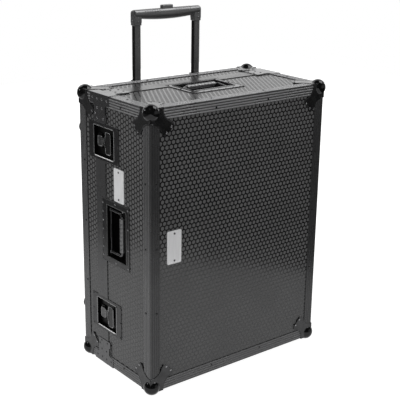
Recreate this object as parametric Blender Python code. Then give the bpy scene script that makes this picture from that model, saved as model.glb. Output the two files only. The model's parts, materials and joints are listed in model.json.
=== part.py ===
"""Flight case for a mixer: plywood lid and base in edge angles, standing on its short end.

Metres, +Z up. The lid's big panel faces -Y, the base's panel with the feet faces +Y, and the
end with the top handle faces +Z. The origin is at the middle of the footprint.
"""

import math

import bmesh
import bpy
from mathutils import Matrix, Vector

# Overall size, to the outer faces of the edge angles
BODY_WIDTH = 0.614
BODY_HEIGHT = 0.800
LID_DEPTH = 0.235
BASE_DEPTH = 0.103

# Clearances
GAP = 0.0003
PARTING_GAP = 0.0003

# Plywood panels and their edge angles
PANEL_THICK = 0.0095
ANGLE_THICK = 0.0015
ANGLE_LEG = 0.031
ARRIS_RADIUS = 0.0012
ARRIS_STEPS = 2

# Rim channels round the parting, with the lip that centres the lid
RIM_LEG = 0.024
RIM_INNER_LEG = 0.012
LIP_THICK = 0.0015
LIP_REACH = 0.005

# Foam lining
FOAM_THICK = 0.020
FOAM_FROM_PARTING = 0.014
FOAM_CUT_CLEARANCE = 0.0006

# Ball corners
BALL_RADIUS = 0.023
BALL_PROUD = 0.011
BALL_FLAT = 0.0006
PETAL_THICK = 0.0015
PETAL_ROOT = 0.042
PETAL_REACH = 0.089
PETAL_HALF_WIDTH = 0.022
PETAL_HOLLOW = 0.008
PETAL_TIP_RADIUS = 0.0065

# Corner braces at the parting: long legs over the angles, short legs over the rims
BRACE_THICK = 0.0012
BRACE_ON_LID = 0.048
BRACE_ON_BASE = 0.045
BRACE_SHORT_ON_LID = 0.035
BRACE_SHORT_ON_BASE = 0.026
BRACE_WIDE_LEG = 0.028
BRACE_SIDE_LEG = 0.074
BRACE_END_LEG = 0.078

# Butterfly latches, two on each narrow side
LATCH_FROM_TOP = 0.131
LATCH_FROM_BOTTOM = 0.157
LATCH_HEIGHT = 0.103
LATCH_ON_LID = 0.092
LATCH_ON_BASE = 0.055
LATCH_FLANGE = 0.009
LATCH_FLANGE_THICK = 0.0015
LATCH_RECESS = 0.010
LATCH_FLOOR = 0.0012
LATCH_HUB_FROM_PARTING = 0.022
HUB_RADIUS = 0.015
HOOK_WIDTH = 0.022
HOOK_THICK = 0.0022
HOOK_PAST_PARTING = 0.013
HOOK_DEPTH = 0.0040
STRIKE_LENGTH = 0.018
STRIKE_WIDTH = 0.040
WING_THICK = 0.0024
WING_LENGTH = 0.027
WING_HALF_HEIGHT = 0.032
WING_CORNER = 0.008
WING_BARREL_RADIUS = 0.0020
WING_BARREL_LENGTH = 0.016
WING_PIN_RADIUS = 0.0009
LUG_LENGTH = 0.004
LUG_WIDTH = 0.006
HINGE_CLEARANCE = 0.0004

# Recessed handles: one on the latch side, one on the top end
HANDLE_WIDTH = 0.133
HANDLE_LENGTH = 0.184
HANDLE_FROM_FRONT = 0.098
SIDE_HANDLE_HEIGHT = 0.4195
HANDLE_FLANGE_THICK = 0.0015
HANDLE_HINGE_MARGIN = 0.026
HANDLE_FAR_MARGIN = 0.015
HANDLE_END_MARGIN = 0.017
HANDLE_RECESS = 0.024
HANDLE_FLOOR = 0.0015
HANDLE_EAR_THICK = 0.004
HANDLE_EAR_WIDTH = 0.012
BAIL_FROM_DISH_END = 0.030
BAIL_GRIP_FROM_FAR_WALL = 0.031
BAIL_DEPTH = 0.009
BAIL_ARM_RADIUS = 0.0040
BAIL_GRIP_RADIUS = 0.0075
BAIL_GRIP_FROM_ARM = 0.010
BAIL_PIN_LENGTH = 0.006

# Rubber feet on the base's big panel
FOOT_HEIGHT = 0.028
FOOT_BASE_RADIUS = 0.026
FOOT_TIP_RADIUS = 0.019
FOOT_FROM_SIDE = 0.031
FOOT_FROM_TOP = 0.117
FOOT_FROM_BOTTOM = 0.142
FOOT_BEVEL = 0.002

# Trolley handle behind the base
TUBE_SPACING = 0.214
INNER_TUBE_X = 0.0200
INNER_TUBE_Y = 0.0160
TUBE_WALL = 0.0012
TUBE_BEVEL = 0.0020
TUBE_SLIDE_CLEARANCE = 0.0004
OUTER_TUBE_WALL = 0.0014
GUIDE_LENGTH = 0.470
COLLAR_WALL = 0.0022
COLLAR_LENGTH = 0.034
COLLAR_BELOW_TOP = 0.002
CROSS_BAR_HEIGHT = 0.030
TUBE_IN_GUIDE = 0.260
GRIP_TOP_ABOVE = 0.199
GRIP_DEPTH = 0.024
GRIP_END_HEIGHT = 0.023
GRIP_MIDDLE_HEIGHT = 0.032
GRIP_SOCKET_ABOVE = 0.155
SOCKET_WALL = 0.0022
GRIP_OVERHANG = 0.004
GRIP_BEVEL = 0.004
BUTTON_LENGTH = 0.040
BUTTON_WIDTH = 0.013
BUTTON_PROUD = 0.009
BUTTON_TRAVEL = 0.005
BUTTON_POCKET = 0.014
BUTTON_CLEARANCE = 0.0005

# Wheels let into the edge between the base's panel and the bottom end
WHEEL_RADIUS = 0.025
WHEEL_WIDTH = 0.022
WHEEL_OFF_FLOOR = 0.0025
WHEEL_BEHIND_BACK = -0.002
WHEEL_FROM_SIDE = 0.112
WHEEL_BEVEL = 0.004
AXLE_RADIUS = 0.004
AXLE_CLEARANCE = 0.0004
WHEEL_SIDE_CLEARANCE = 0.0008
WHEEL_WELL_CLEARANCE = 0.003
WELL_WALL = 0.0025
WELL_FLANGE = 0.010
WELL_FLANGE_THICK = 0.0015
HUB_BOSS = 0.0020

# How finely round pieces are drawn
WHEEL_SIDES = 32
FOOT_SIDES = 24
HUB_SIDES = 24
AXLE_SIDES = 16
BAR_SIDES = 10
BALL_SIDES = 20
BALL_ROWS = 12
PETAL_STEPS = 4
TIP_STEPS = 2
BOW_STEPS = 10
CORNER_STEPS = 2

# How far a cutting block runs past what it opens
BEYOND = 0.05

# Derived places
BOTTOM_Z = BALL_PROUD - BALL_FLAT
TOP_Z = BOTTOM_Z + BODY_HEIGHT
HALF_WIDTH = BODY_WIDTH / 2
FRONT_Y = BALL_PROUD - (BALL_PROUD + LID_DEPTH + BASE_DEPTH + FOOT_HEIGHT) / 2
PARTING_Y = FRONT_Y + LID_DEPTH
BACK_Y = PARTING_Y + BASE_DEPTH
PANEL_INSET = ANGLE_THICK + GAP
WALL_INNER = PANEL_INSET + PANEL_THICK
RIM_INNER = WALL_INNER + GAP + ANGLE_THICK
LIP_OUTER = RIM_INNER + GAP
LIP_INNER = LIP_OUTER + LIP_THICK
LID_END_Y = PARTING_Y - PARTING_GAP / 2
BASE_END_Y = PARTING_Y + PARTING_GAP / 2
LATCH_HEIGHTS = {"upper": TOP_Z - LATCH_FROM_TOP, "lower": BOTTOM_Z + LATCH_FROM_BOTTOM}
BAIL_SPAN = HANDLE_LENGTH - 2 * BAIL_FROM_DISH_END
BAIL_GRIP_LENGTH = BAIL_SPAN - 2 * BAIL_GRIP_FROM_ARM
HANDLE_RECESS_WIDTH = HANDLE_WIDTH - HANDLE_HINGE_MARGIN - HANDLE_FAR_MARGIN
BAIL_REACH = HANDLE_RECESS_WIDTH - HANDLE_EAR_WIDTH / 2 - BAIL_GRIP_FROM_FAR_WALL
SIDES = ("left", "right")
ENDS = ("top", "bottom")

MATERIALS = {
    "laminate": ((0.055, 0.055, 0.056), 0.42, 0.0),
    "edge_aluminium": ((0.060, 0.060, 0.062), 0.38, 0.9),
    "black_steel": ((0.020, 0.020, 0.021), 0.30, 0.9),
    "ball_steel": ((0.012, 0.012, 0.013), 0.12, 0.9),
    "black_plastic": ((0.015, 0.015, 0.016), 0.45, 0.0),
    "trolley_aluminium": ((0.040, 0.040, 0.042), 0.30, 0.9),
    "rubber": ((0.020, 0.020, 0.020), 0.80, 0.0),
    "foam": ((0.030, 0.030, 0.032), 0.95, 0.0),
}


def sign_of(where):
    """The sign of X on the left or right, or of Z at the top or bottom."""
    return 1 if where in ("right", "top") else -1


def clear_scene():
    """Remove every object."""
    for scene_object in list(bpy.data.objects):
        bpy.data.objects.remove(scene_object, do_unlink=True)


def make_materials():
    """Make one Principled material for each finish."""
    made = {}
    for name, (colour, roughness, metallic) in MATERIALS.items():
        material = bpy.data.materials.new(name)
        material.use_nodes = True
        shader = material.node_tree.nodes["Principled BSDF"]
        shader.inputs["Base Color"].default_value = (*colour, 1.0)
        shader.inputs["Roughness"].default_value = roughness
        shader.inputs["Metallic"].default_value = metallic
        made[name] = material
    return made


def mesh_from(shape):
    """Turn a bmesh into a mesh with its faces pointing out."""
    bmesh.ops.recalc_face_normals(shape, faces=shape.faces)
    mesh = bpy.data.meshes.new("shape")
    shape.to_mesh(mesh)
    shape.free()
    return mesh


def box(low, high, bevel=0.0, steps=1):
    """A block between two corners, in any order, with optional rounded edges."""
    low_corner = Vector([min(a, b) for a, b in zip(low, high)])
    high_corner = Vector([max(a, b) for a, b in zip(low, high)])
    size = high_corner - low_corner
    shape = bmesh.new()
    bmesh.ops.create_cube(shape, size=1.0)
    centre = (low_corner + high_corner) / 2
    bmesh.ops.transform(shape, matrix=Matrix.Translation(centre) @ Matrix.Diagonal((*size, 1.0)),
                        verts=shape.verts)
    if bevel:
        bmesh.ops.bevel(shape, geom=list(shape.edges), offset=bevel, segments=steps, profile=0.5,
                        affect="EDGES")
    return mesh_from(shape)


def axis_order(axis):
    """The index of an axis named X, Y or Z, followed by the other two in order."""
    along = "XYZ".index(axis)
    others = [index for index in range(3) if index != along]
    return along, others[0], others[1]


def prism(outline, axis, low, high):
    """Extrude a closed outline, given in the other two axes in X, Y, Z order, along one axis."""
    shape = bmesh.new()
    along, first_other, second_other = axis_order(axis)
    corners = []
    for first, second in outline:
        point = Vector()
        point[along] = min(low, high)
        point[first_other] = first
        point[second_other] = second
        corners.append(shape.verts.new(point))
    face = shape.faces.new(corners)
    grown = bmesh.ops.extrude_face_region(shape, geom=[face])
    step = Vector()
    step[along] = abs(high - low)
    moved = [item for item in grown["geom"] if isinstance(item, bmesh.types.BMVert)]
    bmesh.ops.translate(shape, vec=step, verts=moved)
    return mesh_from(shape)


def turned(axis, centre, stations, sides):
    """A round solid on one axis from (place along the axis, radius) stations."""
    along, first_other, second_other = axis_order(axis)
    shape = bmesh.new()
    rings = []
    for place, radius in stations:
        points = []
        for index in range(sides):
            angle = 2 * math.pi * index / sides
            point = Vector(centre)
            point[along] += place
            point[first_other] += radius * math.cos(angle)
            point[second_other] += radius * math.sin(angle)
            points.append(shape.verts.new(point))
        rings.append(points)
    return skinned(shape, rings)


def skinned(shape, rings):
    """Close a row of rings of points into a solid."""
    sides = len(rings[0])
    for ring, following in zip(rings, rings[1:]):
        for index in range(sides):
            after = (index + 1) % sides
            shape.faces.new((ring[index], ring[after], following[after], following[index]))
    shape.faces.new(rings[0])
    shape.faces.new(rings[-1])
    return mesh_from(shape)


def rounded_outline(half_width, half_height, radius, steps):
    """A rectangle about the origin with round corners."""
    points = []
    for quarter, (across, up) in enumerate(((1, 1), (-1, 1), (-1, -1), (1, -1))):
        for step in range(steps + 1):
            angle = (quarter + step / steps) * math.pi / 2
            points.append((across * (half_width - radius) + radius * math.cos(angle),
                           up * (half_height - radius) + radius * math.sin(angle)))
    return points


def shifted(outline, first, second):
    """Move an outline."""
    return [(a + first, b + second) for a, b in outline]


def combine(operation, first, others):
    """Join or cut closed meshes, and return the result."""
    body = bpy.data.objects.new("work_body", first)
    bpy.context.collection.objects.link(body)
    tools = []
    for mesh in others:
        tool = bpy.data.objects.new("work_tool", mesh)
        tool.hide_render = True
        tool.display_type = "WIRE"
        bpy.context.collection.objects.link(tool)
        modifier = body.modifiers.new("combine", "BOOLEAN")
        modifier.operation = operation
        modifier.solver = "EXACT"
        modifier.object = tool
        tools.append(tool)
    bpy.context.view_layer.update()
    evaluated = body.evaluated_get(bpy.context.evaluated_depsgraph_get())
    result = bpy.data.meshes.new_from_object(evaluated)
    for used in [body, *tools]:
        bpy.data.objects.remove(used, do_unlink=True)
    return result


def join(first, *others):
    """Join overlapping solids into one."""
    return combine("UNION", first, others)


def cut(first, *others):
    """Take solids away from the first one."""
    return combine("DIFFERENCE", first, others)


def overlap(first, second):
    """Keep what two solids share."""
    return combine("INTERSECT", first, [second])


def mirrored(mesh, signs, place):
    """A copy turned over by signs on each axis and then moved to a place."""
    shape = bmesh.new()
    shape.from_mesh(mesh)
    flip = Matrix.Diagonal((*signs, 1.0))
    bmesh.ops.transform(shape, matrix=Matrix.Translation(place) @ flip, verts=shape.verts)
    if signs[0] * signs[1] * signs[2] < 0:
        bmesh.ops.reverse_faces(shape, faces=shape.faces)
    copy = bpy.data.meshes.new("shape")
    shape.to_mesh(copy)
    shape.free()
    return copy


class Part:
    """Adds named pieces to the scene."""

    def __init__(self):
        self.materials = make_materials()

    def add(self, name, mesh, finish, origin=(0.0, 0.0, 0.0), smooth_angle=None):
        """Add a piece whose mesh is in world places, with its origin where it turns or slides."""
        mesh.transform(Matrix.Translation(-Vector(origin)))
        mesh.name = name
        mesh.materials.clear()
        mesh.materials.append(self.materials[finish])
        if smooth_angle is not None:
            mesh.shade_smooth()
            mesh.set_sharp_from_angle(angle=math.radians(smooth_angle))
        piece = bpy.data.objects.new(name, mesh)
        piece.location = origin
        bpy.context.collection.objects.link(piece)
        return piece


def body_box(inset, y_low, y_high, bevel=0.0, steps=1):
    """A block the size of the case's outline, drawn in by an inset on its four sides."""
    return box((-HALF_WIDTH + inset, y_low, BOTTOM_Z + inset),
               (HALF_WIDTH - inset, y_high, TOP_Z - inset), bevel, steps)


def mitred_ring(profile):
    """Run a closed profile of (inset from the case's outline, Y) points round the case's four sides."""
    shape = bmesh.new()
    loops = []
    for inset, place_y in profile:
        across = HALF_WIDTH - inset
        low, high = BOTTOM_Z + inset, TOP_Z - inset
        corners = ((-across, low), (across, low), (across, high), (-across, high))
        loops.append([shape.verts.new((x, place_y, z)) for x, z in corners])
    for index, loop in enumerate(loops):
        following = loops[(index + 1) % len(loops)]
        for corner in range(4):
            after = (corner + 1) % 4
            shape.faces.new((loop[corner], loop[after], following[after], following[corner]))
    return mesh_from(shape)


def ring(outer_inset, inner_inset, y_low, y_high):
    """A four-sided ring round the case between two insets."""
    return mitred_ring([(outer_inset, y_low), (inner_inset, y_low), (inner_inset, y_high),
                        (outer_inset, y_high)])


def side_box(side, depth_low, depth_high, y_low, y_high, z_low, z_high):
    """A block on a narrow side, with depths counted inward from the case's face."""
    return box((side * (HALF_WIDTH - depth_low), y_low, z_low),
               (side * (HALF_WIDTH - depth_high), y_high, z_high))


def latch_cuts(depth, half_height, y_low, y_high):
    """Blocks that clear all four latches down to a depth."""
    cutters = []
    for side in SIDES:
        for height in LATCH_HEIGHTS.values():
            cutters.append(side_box(sign_of(side), -BEYOND, depth, y_low, y_high,
                                    height - half_height, height + half_height))
    return cutters


def on_left_side(depth, from_front, along):
    """A point of the side handle, counted inward, from the front and up from its middle."""
    return (-HALF_WIDTH + depth, FRONT_Y + from_front, BOTTOM_Z + SIDE_HANDLE_HEIGHT + along)


def on_top_end(depth, from_front, along):
    """A point of the top handle, counted inward, from the front and sideways from its middle."""
    return (along, FRONT_Y + from_front, TOP_Z - depth)


# Each handle's places, the side of its hinge its grip lies on, and the axis its hinge runs along
HANDLES = {
    "side": (on_left_side, "front", "Z"),
    "top": (on_top_end, "back", "X"),
}


def handle_widths(grip_side):
    """Where the flange, the recess, the hinge and the grip lie, counted from the front."""
    flange_low = HANDLE_FROM_FRONT
    flange_high = HANDLE_FROM_FRONT + HANDLE_WIDTH
    if grip_side == "back":
        recess_low = flange_low + HANDLE_HINGE_MARGIN
        recess_high = recess_low + HANDLE_RECESS_WIDTH
        hinge = recess_low + HANDLE_EAR_WIDTH / 2
        grip = hinge + BAIL_REACH
    else:
        recess_low = flange_low + HANDLE_FAR_MARGIN
        recess_high = recess_low + HANDLE_RECESS_WIDTH
        hinge = recess_high - HANDLE_EAR_WIDTH / 2
        grip = hinge - BAIL_REACH
    return flange_low, flange_high, recess_low, recess_high, hinge, grip


def handle_block(place, depth_low, depth_high, y_low, y_high, half_length):
    """A block in a handle's own axes."""
    return box(place(depth_low, y_low, -half_length), place(depth_high, y_high, half_length))


def handle_tub_cuts(extra):
    """Blocks that clear both handle tubs with an extra width all round."""
    cutters = []
    for place, grip_side, _axis in HANDLES.values():
        _low, _high, recess_low, recess_high, *_rest = handle_widths(grip_side)
        cutters.append(handle_block(place, -BEYOND, HANDLE_RECESS + HANDLE_FLOOR + extra,
                                    recess_low - HANDLE_FLOOR - extra,
                                    recess_high + HANDLE_FLOOR + extra,
                                    HANDLE_LENGTH / 2 - HANDLE_END_MARGIN + HANDLE_FLOOR + extra))
    return cutters


def handle_flange_cuts():
    """Blocks that notch the rim's outer leg for both handle flanges."""
    cutters = []
    for place, grip_side, _axis in HANDLES.values():
        low, high, *_rest = handle_widths(grip_side)
        cutters.append(handle_block(place, -BEYOND, ANGLE_THICK + GAP / 2, low - GAP, high + GAP,
                                    HANDLE_LENGTH / 2 + GAP))
    return cutters


# Derived places of the wheels and their wells
WHEEL_Y = BACK_Y + WHEEL_BEHIND_BACK
WHEEL_Z = WHEEL_RADIUS + WHEEL_OFF_FLOOR
WELL_HALF_INSIDE = WHEEL_WIDTH / 2 + HUB_BOSS + WHEEL_SIDE_CLEARANCE
WELL_HALF_OUTSIDE = WELL_HALF_INSIDE + WELL_WALL
WELL_FRONT_Y = WHEEL_Y - WHEEL_RADIUS - WHEEL_WELL_CLEARANCE
WELL_TOP_Z = WHEEL_Z + WHEEL_RADIUS + WHEEL_WELL_CLEARANCE
WHEEL_X = HALF_WIDTH - WHEEL_FROM_SIDE


def well_cuts(half_width, extra):
    """Blocks that clear both wheel wells out of the base."""
    cutters = []
    for middle in (-WHEEL_X, WHEEL_X):
        cutters.append(box((middle - half_width, WELL_FRONT_Y - WELL_WALL - extra, BOTTOM_Z - BEYOND),
                           (middle + half_width, BACK_Y + BEYOND, WELL_TOP_Z + WELL_WALL + extra)))
    return cutters


def rim_latch_cuts():
    """Blocks that take the rims' outer and end legs out at the latches, and leave their inner legs."""
    return latch_cuts(WALL_INNER + GAP / 2, LATCH_HEIGHT / 2 + GAP, PARTING_Y - BEYOND, PARTING_Y + BEYOND)


def add_lid_shell(part):
    """Plywood, edge angles, rim channel and foam of the lid."""
    panel_back = FRONT_Y + PANEL_INSET + PANEL_THICK
    part.add("lid_front_panel", body_box(PANEL_INSET, FRONT_Y + PANEL_INSET, panel_back), "laminate")

    wall_end = LID_END_Y - ANGLE_THICK - GAP
    tub_half = LATCH_HEIGHT / 2 - LATCH_FLANGE + LATCH_FLOOR + GAP
    tub_front = PARTING_Y - LATCH_ON_LID + LATCH_FLANGE - LATCH_FLOOR - GAP
    walls = ring(PANEL_INSET, WALL_INNER, panel_back + GAP, wall_end)
    walls = cut(walls, *latch_cuts(WALL_INNER + GAP, tub_half, tub_front, PARTING_Y + BEYOND),
                *handle_tub_cuts(GAP))
    part.add("lid_walls", walls, "laminate")

    angle_end = PARTING_Y - RIM_LEG - GAP
    part.add("lid_edge_frame", edge_frame(FRONT_Y, angle_end, 1), "edge_aluminium", smooth_angle=40)

    rim = rim_channel(LID_END_Y, -1, False)
    rim = cut(rim, *rim_latch_cuts(), *handle_flange_cuts())
    part.add("lid_rim", rim, "edge_aluminium")

    foam_outer = WALL_INNER + GAP
    foam_front = panel_back + GAP
    foam = cut(body_box(foam_outer, foam_front, PARTING_Y - FOAM_FROM_PARTING),
               body_box(foam_outer + FOAM_THICK, foam_front + FOAM_THICK, PARTING_Y + BEYOND),
               *handle_tub_cuts(FOAM_CUT_CLEARANCE))
    part.add("lid_foam", foam, "foam")


def edge_frame(face_y, end_y, inward):
    """Angles along the four edges of a big face and the four edges that run back from it."""
    past_end = end_y + inward * BEYOND
    shell = body_box(0.0, face_y, past_end, ARRIS_RADIUS, ARRIS_STEPS)
    hollow = body_box(ANGLE_THICK, face_y + inward * ANGLE_THICK, past_end + inward * BEYOND)
    trim = body_box(-BEYOND, end_y, past_end + inward * BEYOND)
    window_start = face_y + inward * ANGLE_LEG
    face_window = body_box(ANGLE_LEG, face_y - inward * BEYOND, window_start)
    side_window = box((-HALF_WIDTH - BEYOND, window_start, BOTTOM_Z + ANGLE_LEG),
                      (HALF_WIDTH + BEYOND, past_end, TOP_Z - ANGLE_LEG))
    end_window = box((-HALF_WIDTH + ANGLE_LEG, window_start, BOTTOM_Z - BEYOND),
                     (HALF_WIDTH - ANGLE_LEG, past_end, TOP_Z + BEYOND))
    return cut(shell, hollow, trim, face_window, side_window, end_window)


def rim_channel(end_y, away, has_lip):
    """The channel that wraps the plywood's edge at the parting; away points into its own half."""
    inside_y = end_y + away * ANGLE_THICK
    leg_y = end_y + away * RIM_LEG
    inner_y = end_y + away * RIM_INNER_LEG
    profile = [(0.0, leg_y), (ANGLE_THICK, leg_y), (ANGLE_THICK, inside_y),
               (RIM_INNER - ANGLE_THICK, inside_y), (RIM_INNER - ANGLE_THICK, inner_y),
               (RIM_INNER, inner_y)]
    if has_lip:
        lip_y = end_y - away * LIP_REACH
        profile += [(RIM_INNER, inside_y), (LIP_INNER, inside_y), (LIP_INNER, lip_y),
                    (LIP_OUTER, lip_y), (LIP_OUTER, end_y)]
    else:
        profile.append((RIM_INNER, end_y))
    return mitred_ring([*profile, (0.0, end_y)])


def add_base_shell(part):
    """Plywood, edge angles, rim channel and foam of the base."""
    panel_front = BACK_Y - PANEL_INSET - PANEL_THICK
    well_half = WELL_HALF_OUTSIDE + GAP
    panel = cut(body_box(PANEL_INSET, panel_front, BACK_Y - PANEL_INSET), *well_cuts(well_half, GAP))
    part.add("base_back_panel", panel, "laminate")

    wall_end = BASE_END_Y + ANGLE_THICK + GAP
    tub_half = LATCH_HEIGHT / 2 - LATCH_FLANGE + LATCH_FLOOR + GAP
    tub_back = PARTING_Y + LATCH_ON_BASE - LATCH_FLANGE + LATCH_FLOOR + GAP
    walls = ring(PANEL_INSET, WALL_INNER, wall_end, panel_front - GAP)
    walls = cut(walls, *latch_cuts(WALL_INNER + GAP, tub_half, PARTING_Y - BEYOND, tub_back),
                *well_cuts(well_half, GAP))
    part.add("base_walls", walls, "laminate")

    angle_end = PARTING_Y + RIM_LEG + GAP
    frame = cut(edge_frame(BACK_Y, angle_end, -1), wheel_edge_cut())
    part.add("base_edge_frame", frame, "edge_aluminium", smooth_angle=40)
    part.add("base_edge_strip", edge_strip(), "edge_aluminium", smooth_angle=40)

    rim = cut(rim_channel(BASE_END_Y, 1, True), *rim_latch_cuts())
    part.add("base_rim", rim, "edge_aluminium")

    foam_outer = WALL_INNER + GAP
    foam_back = panel_front - GAP
    foam = cut(body_box(foam_outer, PARTING_Y + FOAM_FROM_PARTING, foam_back),
               body_box(foam_outer + FOAM_THICK, PARTING_Y - BEYOND, foam_back - FOAM_THICK),
               *well_cuts(WELL_HALF_OUTSIDE + FOAM_CUT_CLEARANCE, FOAM_CUT_CLEARANCE))
    part.add("base_foam", foam, "foam")


def strip_half_length():
    """Half the length of the angle between the two wheel wells."""
    return WHEEL_X - WELL_HALF_OUTSIDE - WELL_FLANGE - GAP


def wheel_edge_cut():
    """The block that takes the bottom back angle out between the outer sides of the wheel wells."""
    half = WHEEL_X + WELL_HALF_OUTSIDE + WELL_FLANGE + GAP
    return box((-half, BACK_Y - ANGLE_LEG - BEYOND, BOTTOM_Z - BEYOND),
               (half, BACK_Y + BEYOND, BOTTOM_Z + ANGLE_LEG + GAP))


def edge_strip():
    """The angle along the bottom back edge between the wheel wells."""
    half = strip_half_length()
    shell = box((-half - BEYOND, BACK_Y - ANGLE_LEG - BEYOND, BOTTOM_Z),
                (half + BEYOND, BACK_Y, BOTTOM_Z + ANGLE_LEG + BEYOND), ARRIS_RADIUS, ARRIS_STEPS)
    hollow = box((-BODY_WIDTH, BACK_Y - BODY_WIDTH, BOTTOM_Z + ANGLE_THICK),
                 (BODY_WIDTH, BACK_Y - ANGLE_THICK, BOTTOM_Z + BODY_WIDTH))
    kept = box((-half, BACK_Y - ANGLE_LEG, BOTTOM_Z - BEYOND),
               (half, BACK_Y + BEYOND, BOTTOM_Z + ANGLE_LEG))
    return overlap(cut(shell, hollow), kept)


def petal_outline():
    """A ball corner's petal on one face, in lengths inward from the corner along its two edges."""
    past_corner = -(GAP + PETAL_THICK)
    diagonal = math.sqrt(0.5)

    def on_diagonal(along, across):
        return ((along + across) * diagonal, (along - across) * diagonal)

    root = Vector((PETAL_ROOT, 0.0))
    shoulder = Vector(on_diagonal(PETAL_REACH - PETAL_TIP_RADIUS * 2, PETAL_HALF_WIDTH))
    chord = shoulder - root
    hollow = Vector((-chord.y, chord.x)).normalized() * PETAL_HOLLOW
    edge = [(PETAL_ROOT, past_corner)]
    for step in range(PETAL_STEPS + 1):
        share = step / PETAL_STEPS
        point = root + chord * share + hollow * 4 * share * (1 - share)
        edge.append((point.x, point.y))
    tip = PETAL_REACH - PETAL_TIP_RADIUS
    tip_side = PETAL_HALF_WIDTH - PETAL_TIP_RADIUS
    for step in range(TIP_STEPS + 1):
        angle = math.pi / 2 * (1 - step / TIP_STEPS)
        edge.append(on_diagonal(tip + PETAL_TIP_RADIUS * math.cos(angle),
                                tip_side + PETAL_TIP_RADIUS * math.sin(angle)))
    other = [(second, first) for first, second in reversed(edge)]
    return [(past_corner, past_corner), *edge, *other]


def ball_corner(flattened):
    """A ball corner for the corner whose faces point along +X, +Y and +Z, with the corner at the origin."""
    centre = BALL_PROUD - BALL_RADIUS
    shape = bmesh.new()
    bmesh.ops.create_uvsphere(shape, u_segments=BALL_SIDES, v_segments=BALL_ROWS, radius=BALL_RADIUS)
    bmesh.ops.translate(shape, vec=(centre, centre, centre), verts=shape.verts)
    ball = mesh_from(shape)
    outline = [(-first, -second) for first, second in petal_outline()]
    petals = [prism(outline, axis, GAP, GAP + PETAL_THICK) for axis in "XYZ"]
    whole = join(ball, *petals)
    inside = box((-BODY_WIDTH, -BODY_WIDTH, -BODY_WIDTH), (GAP, GAP, GAP))
    cutters = [inside]
    if flattened:
        flat = BALL_PROUD - BALL_FLAT
        cutters.append(box((-BODY_WIDTH, -BODY_WIDTH, flat), (BEYOND, BEYOND, BEYOND)))
    return cut(whole, *cutters)


def case_edge(side, end, place_y):
    """The point at a Y on the case's edge between a side and an end."""
    return (sign_of(side) * HALF_WIDTH, place_y, TOP_Z if end == "top" else BOTTOM_Z)


def add_ball_corners(part):
    """The eight ball corners; the bottom four are worn flat where they stand."""
    shapes = {"top": ball_corner(False), "bottom": ball_corner(True)}
    for half, face_y, out in (("lid", FRONT_Y, -1), ("base", BACK_Y, 1)):
        for end in ENDS:
            for side in SIDES:
                signs = (sign_of(side), out, sign_of(end))
                mesh = mirrored(shapes[end], signs, case_edge(side, end, face_y))
                part.add(f"{half}_ball_{end}_{side}", mesh, "ball_steel", smooth_angle=35)


def brace(long_length, short_length, towards):
    """A folded plate round the edge whose faces point along +X and +Z, with the edge at the origin."""
    outer = GAP + BRACE_THICK

    def angle_piece(side_leg, end_leg, length):
        outline = [(outer, outer), (outer, -side_leg), (GAP, -side_leg), (GAP, GAP), (-end_leg, GAP),
                   (-end_leg, outer)]
        return prism(outline, "Y", 0.0, towards * length)

    wide = angle_piece(BRACE_WIDE_LEG, BRACE_WIDE_LEG, long_length)
    narrow = angle_piece(BRACE_SIDE_LEG, BRACE_END_LEG, short_length)
    return join(wide, narrow)


def add_braces(part):
    """Folded plates round the case's edges on both sides of the parting."""
    shapes = {
        "lid": (brace(BRACE_ON_LID, BRACE_SHORT_ON_LID, -1), LID_END_Y),
        "base": (brace(BRACE_ON_BASE, BRACE_SHORT_ON_BASE, 1), BASE_END_Y),
    }
    for half, (shape, start) in shapes.items():
        for end in ENDS:
            for side in SIDES:
                mesh = mirrored(shape, (sign_of(side), 1, sign_of(end)), case_edge(side, end, start))
                part.add(f"{half}_brace_{end}_{side}", mesh, "black_steel")


def latch_dish(end_y, length, towards):
    """Half of a latch's dish on the +X side about height 0, open where it meets the other half."""
    face_x = HALF_WIDTH
    far_y = end_y + towards * length
    half = LATCH_HEIGHT / 2
    recess_half = half - LATCH_FLANGE
    recess_far = far_y - towards * LATCH_FLANGE
    flange = box((face_x - LATCH_FLANGE_THICK, end_y, -half), (face_x, far_y, half))
    tub = box((face_x - LATCH_RECESS - LATCH_FLOOR, end_y, -recess_half - LATCH_FLOOR),
              (face_x - LATCH_FLANGE_THICK / 2, recess_far + towards * LATCH_FLOOR,
               recess_half + LATCH_FLOOR))
    recess = box((face_x - LATCH_RECESS, end_y - towards * BEYOND, -recess_half),
                 (face_x + BEYOND, recess_far, recess_half))
    return cut(join(flange, tub), recess)


def latch_strike():
    """The raised catch on the base dish that the hook lies over."""
    top = HALF_WIDTH - HOOK_DEPTH - HOOK_THICK - GAP
    start = BASE_END_Y + GAP
    return box((HALF_WIDTH - LATCH_RECESS - LATCH_FLOOR / 2, start, -STRIKE_WIDTH / 2),
               (top, start + STRIKE_LENGTH, STRIKE_WIDTH / 2))


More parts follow.
